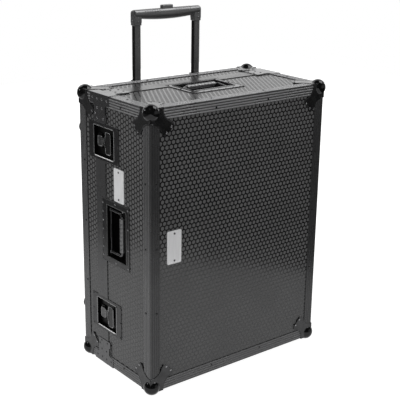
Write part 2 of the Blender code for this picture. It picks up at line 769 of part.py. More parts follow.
def latch_rotor():
    """The turning hub with its hook, and the lugs and pin that carry the wing, on the +X side."""
    hub_y = PARTING_Y - LATCH_HUB_FROM_PARTING
    hook_top = HALF_WIDTH - HOOK_DEPTH
    hub_low = HOOK_DEPTH - LATCH_RECESS + GAP
    hub = turned("X", (hook_top, hub_y, 0.0), ((hub_low, HUB_RADIUS), (0.0, HUB_RADIUS)), HUB_SIDES)
    hook_end = PARTING_Y + HOOK_PAST_PARTING
    hook = prism([(hub_y, -HOOK_WIDTH / 2), (hook_end, -HOOK_WIDTH / 2 + HOOK_THICK),
                  (hook_end, HOOK_WIDTH / 2 - HOOK_THICK), (hub_y, HOOK_WIDTH / 2)],
                 "X", hook_top - HOOK_THICK, hook_top)
    pin_x, pin_y = wing_pin_place()
    lug_start = WING_BARREL_LENGTH / 2 + HINGE_CLEARANCE
    lugs = []
    for up in (-1, 1):
        lugs.append(box((hook_top - HOOK_THICK / 2, pin_y - LUG_WIDTH / 2, up * lug_start),
                        (pin_x + WING_BARREL_RADIUS, pin_y + LUG_WIDTH / 2, up * (lug_start + LUG_LENGTH))))
    pin_half = lug_start + LUG_LENGTH / 2
    pin = turned("Z", (pin_x, pin_y, 0.0), ((-pin_half, WING_PIN_RADIUS), (pin_half, WING_PIN_RADIUS)),
                 BAR_SIDES)
    return join(hub, hook, *lugs, pin)


def wing_pin_place():
    """Where the wing's pin runs, as X on the +X side and Y."""
    pin_x = HALF_WIDTH - HOOK_DEPTH + HINGE_CLEARANCE + WING_BARREL_RADIUS
    return pin_x, PARTING_Y - LATCH_HUB_FROM_PARTING - LUG_WIDTH / 2


def latch_wing():
    """The folding wing, lying flat, on the +X side."""
    pin_x, pin_y = wing_pin_place()
    plate_low = pin_x - WING_THICK / 2
    middle_y = pin_y - WING_LENGTH / 2
    flat_outline = rounded_outline(WING_LENGTH / 2, WING_HALF_HEIGHT, WING_CORNER, CORNER_STEPS)
    outline = shifted(flat_outline, middle_y, 0.0)
    plate = prism(outline, "X", plate_low, plate_low + WING_THICK)
    lug_end = WING_BARREL_LENGTH / 2 + HINGE_CLEARANCE + LUG_LENGTH + HINGE_CLEARANCE
    clear_y = pin_y - math.hypot(LUG_WIDTH / 2, WING_BARREL_RADIUS) - HINGE_CLEARANCE
    slots = [box((plate_low - BEYOND, clear_y, up * WING_BARREL_LENGTH / 2),
                 (plate_low + BEYOND, pin_y + BEYOND, up * lug_end)) for up in (-1, 1)]
    half = WING_BARREL_LENGTH / 2
    barrel = turned("Z", (pin_x, pin_y, 0.0), ((-half, WING_BARREL_RADIUS), (half, WING_BARREL_RADIUS)),
                    AXLE_SIDES)
    bore_radius = WING_PIN_RADIUS + HINGE_CLEARANCE
    bore = turned("Z", (pin_x, pin_y, 0.0), ((-BEYOND, bore_radius), (BEYOND, bore_radius)), BAR_SIDES)
    return cut(join(cut(plate, *slots), barrel), bore)


def add_latches(part):
    """Dishes, strike, rotor and wing of the four latches."""
    shapes = {
        "dish_lid": (latch_dish(LID_END_Y, LATCH_ON_LID, -1), "black_steel"),
        "dish_base": (join(latch_dish(BASE_END_Y, LATCH_ON_BASE, 1), latch_strike()), "black_steel"),
        "rotor": (latch_rotor(), "black_steel"),
        "wing": (latch_wing(), "black_steel"),
    }
    pin_x, pin_y = wing_pin_place()
    for side in SIDES:
        sign = sign_of(side)
        for level, height in LATCH_HEIGHTS.items():
            origins = {
                "rotor": (sign * HALF_WIDTH, PARTING_Y - LATCH_HUB_FROM_PARTING, height),
                "wing": (sign * pin_x, pin_y, height),
            }
            for piece, (shape, finish) in shapes.items():
                mesh = mirrored(shape, (sign, 1, 1), (0.0, 0.0, height))
                part.add(f"latch_{side}_{level}_{piece}", mesh, finish, origins.get(piece, (0, 0, 0)),
                         smooth_angle=35)


def bar_along(points, radius):
    """A round bar along a line of points in one plane, with mitred bends."""
    headings = [(after - before).normalized() for before, after in zip(points, points[1:])]
    plane_normal = headings[0].cross(headings[1]).normalized()
    shape = bmesh.new()
    rings = []
    for index, point in enumerate(points):
        before = headings[max(index - 1, 0)]
        after = headings[min(index, len(headings) - 1)]
        heading = (before + after).normalized()
        across = plane_normal.cross(heading) / heading.dot(before)
        ring_points = []
        for step in range(BAR_SIDES):
            angle = 2 * math.pi * (step + 0.5) / BAR_SIDES
            offset = plane_normal * math.cos(angle) + across * math.sin(angle)
            ring_points.append(shape.verts.new(point + offset * radius))
        rings.append(ring_points)
    return skinned(shape, rings)


def handle_dish(place, grip_side, axis):
    """The recessed dish with an ear at each end of the hinge."""
    low, high, recess_low, recess_high, hinge, _grip = handle_widths(grip_side)
    half = HANDLE_LENGTH / 2
    recess_half = half - HANDLE_END_MARGIN
    flange = handle_block(place, 0.0, HANDLE_FLANGE_THICK, low, high, half)
    tub = handle_block(place, HANDLE_FLANGE_THICK / 2, HANDLE_RECESS + HANDLE_FLOOR,
                       recess_low - HANDLE_FLOOR, recess_high + HANDLE_FLOOR, recess_half + HANDLE_FLOOR)
    recess = handle_block(place, -BEYOND, HANDLE_RECESS, recess_low, recess_high, recess_half)
    ear_start = BAIL_SPAN / 2 + BAIL_ARM_RADIUS + GAP
    ear_half_width = HANDLE_EAR_WIDTH / 2 - GAP
    bore_radius = BAIL_ARM_RADIUS - GAP
    bore = turned(axis, place(BAIL_DEPTH, hinge, 0.0),
                  ((-recess_half, bore_radius), (recess_half, bore_radius)), BAR_SIDES)
    ears = []
    for sign in (-1, 1):
        ear = box(place(BAIL_DEPTH - HANDLE_EAR_THICK, hinge - ear_half_width, sign * ear_start),
                  place(HANDLE_RECESS + HANDLE_FLOOR / 2, hinge + ear_half_width,
                        sign * (ear_start + HANDLE_EAR_THICK)))
        ears.append(cut(ear, bore))
    return join(cut(join(flange, tub), recess), *ears)


def handle_bail(place, grip_side, axis):
    """The U-shaped bail lying flat in its dish, with its grip and a pin at each end of its arms."""
    *_rest, hinge, grip_y = handle_widths(grip_side)
    half = BAIL_SPAN / 2
    corner = BAIL_ARM_RADIUS * 2
    arm_end = hinge + (grip_y - hinge) * (1 - corner / BAIL_REACH)
    path = ((hinge, -half), (arm_end, -half), (grip_y, -half + corner),
            (grip_y, half - corner), (arm_end, half), (hinge, half))
    bar = bar_along([Vector(place(BAIL_DEPTH, from_front, along)) for from_front, along in path],
                    BAIL_ARM_RADIUS)
    bevel = BAIL_GRIP_RADIUS / 4
    grip_half = BAIL_GRIP_LENGTH / 2
    grip = turned(axis, place(BAIL_DEPTH, grip_y, 0.0),
                  ((-grip_half, BAIL_GRIP_RADIUS - bevel), (-grip_half + bevel, BAIL_GRIP_RADIUS),
                   (grip_half - bevel, BAIL_GRIP_RADIUS), (grip_half, BAIL_GRIP_RADIUS - bevel)), AXLE_SIDES)
    pin_radius = BAIL_ARM_RADIUS - GAP - HINGE_CLEARANCE
    pin_end = half + BAIL_ARM_RADIUS + BAIL_PIN_LENGTH / 2
    knuckle_radius = BAIL_ARM_RADIUS + HINGE_CLEARANCE
    hinge_pieces = []
    for sign in (-1, 1):
        centre = place(BAIL_DEPTH, hinge, sign * half)
        pin_stations = sorted([(0.0, pin_radius), (sign * (pin_end - half), pin_radius)])
        hinge_pieces.append(turned(axis, centre, pin_stations, BAR_SIDES))
        knuckle_stations = ((-BAIL_ARM_RADIUS, knuckle_radius), (BAIL_ARM_RADIUS, knuckle_radius))
        hinge_pieces.append(turned(axis, centre, knuckle_stations, AXLE_SIDES))
    return join(bar, grip, *hinge_pieces)


def add_handles(part):
    """Dish and sprung bail of the two recessed handles."""
    for name, (place, grip_side, axis) in HANDLES.items():
        part.add(f"handle_{name}_dish", handle_dish(place, grip_side, axis), "black_steel")
        *_rest, hinge, _grip = handle_widths(grip_side)
        bail = handle_bail(place, grip_side, axis)
        part.add(f"handle_{name}_bail", bail, "black_steel", place(BAIL_DEPTH, hinge, 0.0), smooth_angle=50)


def add_feet(part):
    """Four tapered rubber feet on the base's big panel."""
    heights = {"top": TOP_Z - FOOT_FROM_TOP, "bottom": BOTTOM_Z + FOOT_FROM_BOTTOM}
    for end, height in heights.items():
        for side in SIDES:
            centre = (sign_of(side) * (HALF_WIDTH - FOOT_FROM_SIDE), BACK_Y, height)
            stations = ((GAP, FOOT_BASE_RADIUS - FOOT_BEVEL), (GAP + FOOT_BEVEL, FOOT_BASE_RADIUS),
                        (FOOT_HEIGHT - FOOT_BEVEL, FOOT_TIP_RADIUS),
                        (FOOT_HEIGHT, FOOT_TIP_RADIUS - FOOT_BEVEL))
            foot = turned("Y", centre, stations, FOOT_SIDES)
            part.add(f"foot_{end}_{side}", foot, "rubber", smooth_angle=35)


# Derived places of the trolley's tubes
TUBE_Y = BACK_Y + GAP + OUTER_TUBE_WALL + TUBE_SLIDE_CLEARANCE + INNER_TUBE_Y / 2
TUBE_PLACES = {"left": -TUBE_SPACING / 2, "right": TUBE_SPACING / 2}


def upright(middle_x, width, depth, z_low, z_high):
    """A rectangular bar of the trolley with round corners."""
    outline = rounded_outline(width / 2, depth / 2, TUBE_BEVEL, CORNER_STEPS)
    return prism(shifted(outline, middle_x, TUBE_Y), "Z", z_low, z_high)


def trolley_guide():
    """The two outer tubes with their collars, tied by two cross bars on the base's panel."""
    slide_x = INNER_TUBE_X + 2 * TUBE_SLIDE_CLEARANCE
    slide_y = INNER_TUBE_Y + 2 * TUBE_SLIDE_CLEARANCE
    outer_x = slide_x + 2 * OUTER_TUBE_WALL
    outer_y = slide_y + 2 * OUTER_TUBE_WALL
    guide_low = TOP_Z - GUIDE_LENGTH
    collar_top = TOP_Z - COLLAR_BELOW_TOP
    behind_panel = box((-BODY_WIDTH, BACK_Y + GAP, guide_low),
                       (BODY_WIDTH, BACK_Y + BODY_WIDTH, collar_top + BEYOND))
    solids = []
    bores = []
    for middle in TUBE_PLACES.values():
        solids.append(upright(middle, outer_x, outer_y, guide_low, collar_top - COLLAR_LENGTH / 2))
        collar = upright(middle, outer_x + 2 * COLLAR_WALL, outer_y + 2 * COLLAR_WALL,
                         collar_top - COLLAR_LENGTH, collar_top)
        solids.append(overlap(collar, behind_panel))
        bores.append(upright(middle, slide_x, slide_y, guide_low - BEYOND, collar_top + BEYOND))
    cross_half = TUBE_SPACING / 2 + outer_x / 2 + COLLAR_WALL
    upper_bar_low = TOP_Z - ANGLE_LEG - GAP - CROSS_BAR_HEIGHT
    for start in (guide_low + CROSS_BAR_HEIGHT, upper_bar_low):
        solids.append(box((-cross_half, BACK_Y - PANEL_INSET + GAP, start),
                          (cross_half, TUBE_Y, start + CROSS_BAR_HEIGHT)))
    return cut(join(*solids), *bores)


def add_trolley(part):
    """The guide on the base, the two sliding tubes, the grip and its button."""
    part.add("trolley_guide", trolley_guide(), "black_plastic")

    tube_low = TOP_Z - TUBE_IN_GUIDE
    tube_top = TOP_Z + GRIP_TOP_ABOVE - GRIP_END_HEIGHT / 2
    for side, middle in TUBE_PLACES.items():
        hollow = box((middle - INNER_TUBE_X / 2 + TUBE_WALL, TUBE_Y - INNER_TUBE_Y / 2 + TUBE_WALL,
                      tube_low - BEYOND),
                     (middle + INNER_TUBE_X / 2 - TUBE_WALL, TUBE_Y + INNER_TUBE_Y / 2 - TUBE_WALL,
                      tube_top + BEYOND))
        tube = cut(upright(middle, INNER_TUBE_X, INNER_TUBE_Y, tube_low, tube_top), hollow)
        part.add(f"trolley_tube_{side}", tube, "trolley_aluminium", smooth_angle=50)
    part.add("trolley_grip", trolley_grip(tube_top), "black_plastic", smooth_angle=40)

    button_low = TOP_Z + GRIP_TOP_ABOVE - BUTTON_POCKET + BUTTON_TRAVEL + GAP
    button_high = TOP_Z + GRIP_TOP_ABOVE + BUTTON_PROUD
    button = prism(button_outline(0.0), "Z", button_low, button_high)
    part.add("trolley_button", button, "black_plastic", (0.0, TUBE_Y, button_low), smooth_angle=50)


def button_outline(extra):
    """The button's outline seen from above, with an extra width all round."""
    outline = rounded_outline(BUTTON_LENGTH / 2 + extra, BUTTON_WIDTH / 2 + extra, BUTTON_WIDTH / 4,
                              CORNER_STEPS)
    return shifted(outline, 0.0, TUBE_Y)


def trolley_grip(tube_top):
    """The bowed grip with a socket over each tube and a pocket for the button."""
    top = TOP_Z + GRIP_TOP_ABOVE
    half = TUBE_SPACING / 2 + INNER_TUBE_X / 2 + SOCKET_WALL + GRIP_OVERHANG
    bow = GRIP_MIDDLE_HEIGHT - GRIP_END_HEIGHT
    lower = []
    for step in range(BOW_STEPS + 1):
        share = -1 + 2 * step / BOW_STEPS
        lower.append((share * half, top - GRIP_END_HEIGHT - bow * (1 - share * share)))
    outline = [*lower, (half, top - GRIP_BEVEL), (half - GRIP_BEVEL, top), (-half + GRIP_BEVEL, top),
               (-half, top - GRIP_BEVEL)]
    rounder = bmesh.new()
    rounder.from_mesh(prism(outline, "Y", TUBE_Y - GRIP_DEPTH / 2, TUBE_Y + GRIP_DEPTH / 2))
    long_edges = [edge for edge in rounder.edges
                  if abs(edge.verts[0].co.y - edge.verts[1].co.y) < GAP
                  and abs(edge.verts[0].co.x - edge.verts[1].co.x) > GRIP_BEVEL * 2]
    bmesh.ops.bevel(rounder, geom=long_edges, offset=GRIP_BEVEL, segments=CORNER_STEPS, profile=0.5,
                    affect="EDGES")
    bar = mesh_from(rounder)
    sockets = []
    bores = []
    for middle in TUBE_PLACES.values():
        sockets.append(upright(middle, INNER_TUBE_X + 2 * SOCKET_WALL, INNER_TUBE_Y + 2 * SOCKET_WALL,
                               TOP_Z + GRIP_SOCKET_ABOVE, top - GRIP_END_HEIGHT / 2))
        bores.append(upright(middle, INNER_TUBE_X + 2 * GAP, INNER_TUBE_Y + 2 * GAP,
                             TOP_Z + GRIP_SOCKET_ABOVE - BEYOND, tube_top + GAP))
    pocket = prism(button_outline(BUTTON_CLEARANCE), "Z", top - BUTTON_POCKET, top + BEYOND)
    return cut(join(bar, *sockets), *bores, pocket)


def wheel_well(middle):
    """The bent tray let into the bottom back edge, with the axle and its two bosses."""
    inner = box((middle - WELL_HALF_INSIDE, WELL_FRONT_Y, BOTTOM_Z - BEYOND),
                (middle + WELL_HALF_INSIDE, BACK_Y + BEYOND, WELL_TOP_Z))
    block = box((middle - WELL_HALF_OUTSIDE, WELL_FRONT_Y - WELL_WALL, BOTTOM_Z),
                (middle + WELL_HALF_OUTSIDE, BACK_Y, WELL_TOP_Z + WELL_WALL))
    flange_half = WELL_HALF_OUTSIDE + WELL_FLANGE
    back_flange = box((middle - flange_half, BACK_Y - WELL_FLANGE_THICK, BOTTOM_Z),
                      (middle + flange_half, BACK_Y, WELL_TOP_Z + WELL_WALL + WELL_FLANGE))
    bottom_flange = box((middle - flange_half, WELL_FRONT_Y - WELL_WALL - WELL_FLANGE, BOTTOM_Z),
                        (middle + flange_half, BACK_Y, BOTTOM_Z + WELL_FLANGE_THICK))
    shell = cut(join(block, back_flange, bottom_flange), inner)
    centre = (middle, WHEEL_Y, WHEEL_Z)
    boss_radius = AXLE_RADIUS * 2
    axle_end = WELL_HALF_INSIDE + WELL_WALL / 2
    boss_start = WHEEL_WIDTH / 2 + WHEEL_SIDE_CLEARANCE
    axle = turned("X", centre, ((-axle_end, AXLE_RADIUS), (axle_end, AXLE_RADIUS)), AXLE_SIDES)
    inner_boss = turned("X", centre, ((-axle_end, boss_radius), (-boss_start, boss_radius)), AXLE_SIDES)
    outer_boss = turned("X", centre, ((boss_start, boss_radius), (axle_end, boss_radius)), AXLE_SIDES)
    return join(shell, join(axle, inner_boss, outer_boss))


def wheel(middle):
    """A solid wheel with a bevelled tread, bored for its axle."""
    centre = (middle, WHEEL_Y, WHEEL_Z)
    half = WHEEL_WIDTH / 2
    stations = ((-half, WHEEL_RADIUS - WHEEL_BEVEL), (-half + WHEEL_BEVEL, WHEEL_RADIUS),
                (half - WHEEL_BEVEL, WHEEL_RADIUS), (half, WHEEL_RADIUS - WHEEL_BEVEL))
    bore_radius = AXLE_RADIUS + AXLE_CLEARANCE
    bore = turned("X", centre, ((-BEYOND, bore_radius), (BEYOND, bore_radius)), AXLE_SIDES)
    return cut(turned("X", centre, stations, WHEEL_SIDES), bore)


def add_wheels(part):
    """The two wheels and their wells."""
    for side, middle in (("left", -WHEEL_X), ("right", WHEEL_X)):
        part.add(f"wheel_well_{side}", wheel_well(middle), "black_plastic", smooth_angle=35)
        part.add(f"wheel_{side}", wheel(middle), "rubber", (middle, WHEEL_Y, WHEEL_Z), smooth_angle=35)


def build():
    """Model the whole case."""
    clear_scene()
    part = Part()
    add_lid_shell(part)
    add_base_shell(part)
    add_ball_corners(part)
    add_braces(part)
    add_latches(part)
    add_handles(part)
    add_feet(part)
    add_trolley(part)
    add_wheels(part)


build()
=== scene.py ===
"""Looks of the mixer flight case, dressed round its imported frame.

Metres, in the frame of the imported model: the lid's panel faces -Y, the feet +Y, the top handle +Z.
"""

import json
import math

import bmesh
import bpy
from mathutils import Matrix, Vector

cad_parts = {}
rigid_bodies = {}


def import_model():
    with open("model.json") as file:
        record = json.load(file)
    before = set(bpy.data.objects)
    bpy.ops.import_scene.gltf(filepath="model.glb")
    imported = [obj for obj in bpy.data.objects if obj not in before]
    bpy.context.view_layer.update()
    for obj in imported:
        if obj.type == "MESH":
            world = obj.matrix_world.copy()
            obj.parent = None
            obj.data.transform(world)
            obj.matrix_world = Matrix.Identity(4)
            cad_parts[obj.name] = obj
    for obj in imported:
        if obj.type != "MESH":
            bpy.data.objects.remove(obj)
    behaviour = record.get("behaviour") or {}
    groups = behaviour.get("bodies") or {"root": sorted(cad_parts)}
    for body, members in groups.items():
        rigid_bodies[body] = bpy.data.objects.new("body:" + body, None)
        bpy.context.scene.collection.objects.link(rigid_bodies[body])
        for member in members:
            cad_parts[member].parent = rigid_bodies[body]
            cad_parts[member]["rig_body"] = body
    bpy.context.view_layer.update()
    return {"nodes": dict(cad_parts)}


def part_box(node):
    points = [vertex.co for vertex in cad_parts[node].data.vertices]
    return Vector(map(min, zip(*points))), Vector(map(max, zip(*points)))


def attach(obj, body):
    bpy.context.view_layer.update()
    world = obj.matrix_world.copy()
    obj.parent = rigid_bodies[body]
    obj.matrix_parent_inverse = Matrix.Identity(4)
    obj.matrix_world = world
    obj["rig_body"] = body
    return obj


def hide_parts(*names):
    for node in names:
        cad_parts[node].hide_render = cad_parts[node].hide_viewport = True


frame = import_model()

# The case's outer faces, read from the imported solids
frame_low, frame_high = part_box("lid_edge_frame")
LEFT, FRONT, BOTTOM = frame_low
RIGHT, TOP = frame_high.x, frame_high.z
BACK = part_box("base_edge_frame")[1].y
GAP = 0.0003
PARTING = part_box("lid_rim")[1].y + GAP / 2
WIDTH = RIGHT - LEFT
EDGES = {"left": LEFT, "right": RIGHT, "bottom": BOTTOM, "top": TOP, "front": FRONT, "back": BACK}

# Each outer face: a point on it, its two directions and the way it faces
FACES = {
    "front": ((0, FRONT, 0), (1, 0, 0), (0, 0, 1), (0, -1, 0)),
    "back": ((0, BACK, 0), (1, 0, 0), (0, 0, 1), (0, 1, 0)),
    "left": ((LEFT, 0, 0), (0, 1, 0), (0, 0, 1), (-1, 0, 0)),
    "right": ((RIGHT, 0, 0), (0, 1, 0), (0, 0, 1), (1, 0, 0)),
    "top": ((0, 0, TOP), (1, 0, 0), (0, 1, 0), (0, 0, 1)),
    "bottom": ((0, 0, BOTTOM), (1, 0, 0), (0, 1, 0), (0, 0, -1)),
}
SIDES = {"left": -1, "right": 1}
ENDS = {"bottom": -1, "top": 1}
CORNERS = [(end, up, side, across) for end, up in ENDS.items() for side, across in SIDES.items()]
# Each half's big face, and the way from there to the parting
HALVES = {"lid": ("front", 1), "base": ("back", -1)}


def on_face(face, first, second, out=0.0):
    """A point on an outer face, raised by a height."""
    origin, first_way, second_way, normal = (Vector(item) for item in FACES[face])
    return origin + first_way * first + second_way * second + normal * out


def turns(sides):
    """Cosine and sine of each step round a circle."""
    angles = [2 * math.pi * index / sides for index in range(sides)]
    return [(math.cos(angle), math.sin(angle)) for angle in angles]


class Nodes:
    """A node tree put together step by step."""

    def __init__(self, tree):
        self.tree = tree

    def feed(self, socket, value):
        """Link a value into a socket, or set it there; a colour comes without its alpha."""
        if isinstance(value, bpy.types.NodeSocket):
            self.tree.links.new(value, socket)
        else:
            socket.default_value = (*value, 1.0) if socket.type == "RGBA" else value

    def add(self, kind, feeds=(), **settings):
        """Add a node, set it, and feed its sockets in order or by name."""
        node = self.tree.nodes.new("ShaderNode" + kind)
        for key, value in settings.items():
            setattr(node, key, value)
        for socket, value in feeds.items() if isinstance(feeds, dict) else enumerate(feeds):
            self.feed(node.inputs[socket], value)
        return node

    def math(self, operation, *values):
        """One step of arithmetic."""
        return self.add("Math", values, operation=operation).outputs[0]

    def blend(self, share, full, none):
        """A number that goes to one value at share 1 from another at share 0."""
        return self.math("MULTIPLY_ADD", share, self.math("SUBTRACT", full, none), none)

    def ranged(self, value, low, high, to_low=0.0, to_high=1.0, smooth=False):
        """Map a value from one range to another."""
        return self.add("MapRange", (value, low, high, to_low, to_high),
                        interpolation_type="SMOOTHSTEP" if smooth else "LINEAR").outputs[0]

    def spread(self, noise, to_low=0.0, to_high=1.0):
        """Map the usual values of a noise to a range."""
        return self.ranged(noise, 0.3, 0.7, to_low, to_high)

    def tinted(self, factor, first, second):
        """Mix two colours."""
        return self.add("Mix", {0: factor, 6: first, 7: second}, data_type="RGBA").outputs[2]


class Finish(Nodes):
    """A material on the object's own coordinates."""

    def __init__(self, name, roughness=0.5, metallic=0.0):
        self.material = bpy.data.materials.new(name)
        self.material.use_nodes = True
        super().__init__(self.material.node_tree)
        self.shader = self.tree.nodes["Principled BSDF"]
        self.set("Roughness", roughness)
        self.set("Metallic", metallic)
        self.coordinates = self.add("TexCoord").outputs
        self.place = self.coordinates["Object"]

    def set(self, socket, value):
        """Set or link one of the shader's own sockets."""
        self.feed(self.shader.inputs[socket], value)

    def axes(self, vector):
        """The three parts of a vector."""
        return self.add("SeparateXYZ", (vector,)).outputs

    def stretched(self, x, y, z):
        """Object coordinates scaled along each axis."""
        return self.add("VectorMath", (self.place, (x, y, z)), operation="MULTIPLY").outputs[0]

    def noise(self, scale, detail, coordinates=None):
        """Cloudy noise from 0 to 1."""
        feeds = {"Vector": coordinates or self.place, "Scale": scale, "Detail": detail}
        return self.add("TexNoise", feeds).outputs[0]

    def bump(self, height, distance, strength, under=None):
        """Raise the surface by a height pattern, on top of another one if given."""
        feeds = {"Strength": strength, "Distance": distance, "Height": height}
        if under is not None:
            feeds["Normal"] = under
        normal = self.add("Bump", feeds).outputs[0]
        self.set("Normal", normal)
        return normal


def grey(level, blue=None):
    """A grey, with a blue of its own where that is given."""
    return level, level, blue or level


def scaled(colour, times):
    """A colour made paler or darker."""
    return tuple(channel * times for channel in colour)


HEX_PITCH = 14.0
HEX_ROW = HEX_PITCH * math.sqrt(0.75)
JOINT_ROUGHNESS = 0.14
RECESS_ROUGHNESS = 0.38


def hexagon_height(finish):
    """Height of the laminate's hexagon pads, 1 on a pad and 0 in a joint, on any flat side of the case."""
    x, y, z = finish.axes(finish.stretched(1000, 1000, 1000))
    facing_x, facing_y, _facing_z = finish.axes(finish.coordinates["Normal"])
    along, across = (
        finish.blend(finish.math("GREATER_THAN", finish.math("ABSOLUTE", facing), 0.7), z, place)
        for facing, place in ((facing_x, x), (facing_y, y)))

    def from_centre(shift):
        first, second = (finish.math("WRAP", finish.math("ADD", place, shift * half), half, -half)
                         for place, half in ((along, HEX_PITCH / 2), (across, HEX_ROW)))
        square = finish.math("MULTIPLY", second, second)
        return first, second, finish.math("MULTIPLY_ADD", first, first, square)

    *even, square_even = from_centre(0)
    *odd, square_odd = from_centre(1)
    even_is_near = finish.math("LESS_THAN", square_even, square_odd)
    first, second = (finish.math("ABSOLUTE", finish.blend(even_is_near, *pair)) for pair in zip(even, odd))
    slanted = finish.math("MULTIPLY_ADD", second, math.sqrt(0.75), finish.math("MULTIPLY", first, 0.5))
    from_middle = finish.math("MAXIMUM", first, slanted)
    return finish.ranged(from_middle, HEX_PITCH * 0.30, HEX_PITCH * 0.43, 1.0, 0.0, smooth=True)


def laminate(name):
    """Black phenolic film pressed with hexagon pads: matt grey pads in glossy dark joints."""
    finish = Finish(name)
    pads = hexagon_height(finish)
    grain = finish.noise(900.0, 2.0)
    pad_tone = finish.tinted(finish.spread(finish.noise(9.0, 4.0)), grey(0.050, 0.0505), grey(0.061, 0.0615))
    finish.set("Base Color", finish.tinted(pads, grey(0.069, 0.070), pad_tone))
    finish.set("Metallic", finish.math("SUBTRACT", 1.0, pads))
    finish.set("Roughness", finish.blend(pads, finish.spread(grain, 0.42, 0.56), JOINT_ROUGHNESS))
    finish.set("Specular IOR Level", 0.25)
    finish.bump(grain, 0.00006, 0.3, finish.bump(pads, 0.0003, 0.4))
    return finish.material


def scuffed(name, colour, worn, roughness, metallic, streaks=(1, 1, 1)):
    """Dark metal with fine streaks, cloudy sheen and a few small bright scuffs."""
    finish = Finish(name, roughness, metallic)
    streak = finish.noise(260.0, 3.0, finish.stretched(*streaks))
    scuff = finish.ranged(finish.noise(75.0, 5.0), 0.66, 0.74)
    tone = finish.tinted(finish.spread(streak, 0.0, 0.35), colour, worn)
    finish.set("Base Color", finish.tinted(finish.math("MULTIPLY", scuff, 0.35), tone, worn))
    cloud = finish.noise(14.0, 4.0)
    finish.set("Roughness", finish.ranged(cloud, 0.25, 0.75, roughness * 0.8, roughness * 1.3))
    finish.bump(streak, 0.00005, 0.35)
    return finish.material


def cornered(name, petal_tone, ball_tone, petal_roughness, ball_roughness):
    """Black corner steel, satin on its petals and darker and polished on its ball."""
    finish = Finish(name, petal_roughness, 0.95)
    x, y, z = finish.axes(finish.place)
    out = finish.math("SUBTRACT", finish.math("ABSOLUTE", x), RIGHT)
    for beyond in ((FRONT, y), (y, BACK), (BOTTOM, z), (z, TOP)):
        out = finish.math("MAXIMUM", out, finish.math("SUBTRACT", *beyond))
    is_ball = finish.ranged(out, 0.0020, 0.0030)
    cloud = finish.spread(finish.noise(45.0, 4.0))
    petals = finish.tinted(cloud, petal_tone, scaled(petal_tone, 1.4))
    finish.set("Base Color", finish.tinted(is_ball, petals, ball_tone))
    worn = finish.math("MULTIPLY_ADD", cloud, 0.05, petal_roughness)
    finish.set("Roughness", finish.blend(is_ball, ball_roughness, worn))
    finish.bump(finish.noise(500.0, 2.0), 0.00002, 0.3)
    return finish.material


def dished(name, colour, painted_recess_shade, roughness):
    """Painted pressed steel, matt in its recess and darkened there with painted shade."""
    finish = Finish(name, roughness, 0.95)
    x, _y, z = finish.axes(finish.place)
    outside = finish.math("MAXIMUM", *(finish.ranged(place, edge - 0.0030, edge - 0.0008)
                                       for place, edge in ((finish.math("ABSOLUTE", x), RIGHT), (z, TOP))))
    painted = finish.tinted(finish.spread(finish.noise(60.0, 4.0)), colour, scaled(colour, 1.4))
    # Deeper than the outer band the colour turns to the painted recess shade
    finish.set("Base Color", finish.tinted(outside, painted_recess_shade, painted))
    finish.set("Roughness", finish.blend(outside, roughness, RECESS_ROUGHNESS))
    finish.bump(finish.noise(800.0, 2.0), 0.00003, 0.3)
    return finish.material


def moulded(name, colour, roughness, grain_scale, grain_depth, gloss=0.5):
    """Moulded plastic or rubber with a fine grain."""
    finish = Finish(name)
    finish.set("Specular IOR Level", gloss)
    grain = finish.noise(grain_scale, 3.0)
    cloud = finish.spread(finish.noise(20.0, 3.0), 0.0, 0.4)
    finish.set("Base Color", finish.tinted(cloud, colour, scaled(colour, 1.7)))
    finish.set("Roughness", finish.spread(grain, roughness * 0.85, roughness * 1.15))
    finish.bump(grain, grain_depth, 0.5)
    return finish.material


def brushed(name, colour, roughness, metallic, streaks):
    """Brushed bright metal."""
    finish = Finish(name, roughness, metallic)
    streak = finish.noise(700.0, 4.0, finish.stretched(*streaks))
    finish.set("Base Color", finish.tinted(finish.spread(streak), scaled(colour, 0.86), colour))
    finish.set("Roughness", finish.spread(streak, roughness * 0.8, roughness * 1.25))
    finish.bump(streak, 0.00004, 0.4)
    return finish.material


def porous(name):
    """Open-celled dark foam."""
    finish = Finish(name, 0.95)
    pores = finish.add("TexVoronoi", {"Vector": finish.place, "Scale": 700.0})
    hole = finish.ranged(pores.outputs["Distance"], 0.0, 0.6)
    cloud = finish.noise(25.0, 4.0)
    # The pores' centres are painted darker than their rims: painted shade in the pores
    tone = finish.tinted(hole, grey(0.012, 0.013), grey(0.060, 0.064))
    finish.set("Base Color", finish.tinted(finish.spread(cloud, 0.0, 0.3), tone, grey(0.075, 0.078)))
    finish.bump(hole, 0.0006, 0.8, finish.bump(cloud, 0.0008, 0.4))
    return finish.material


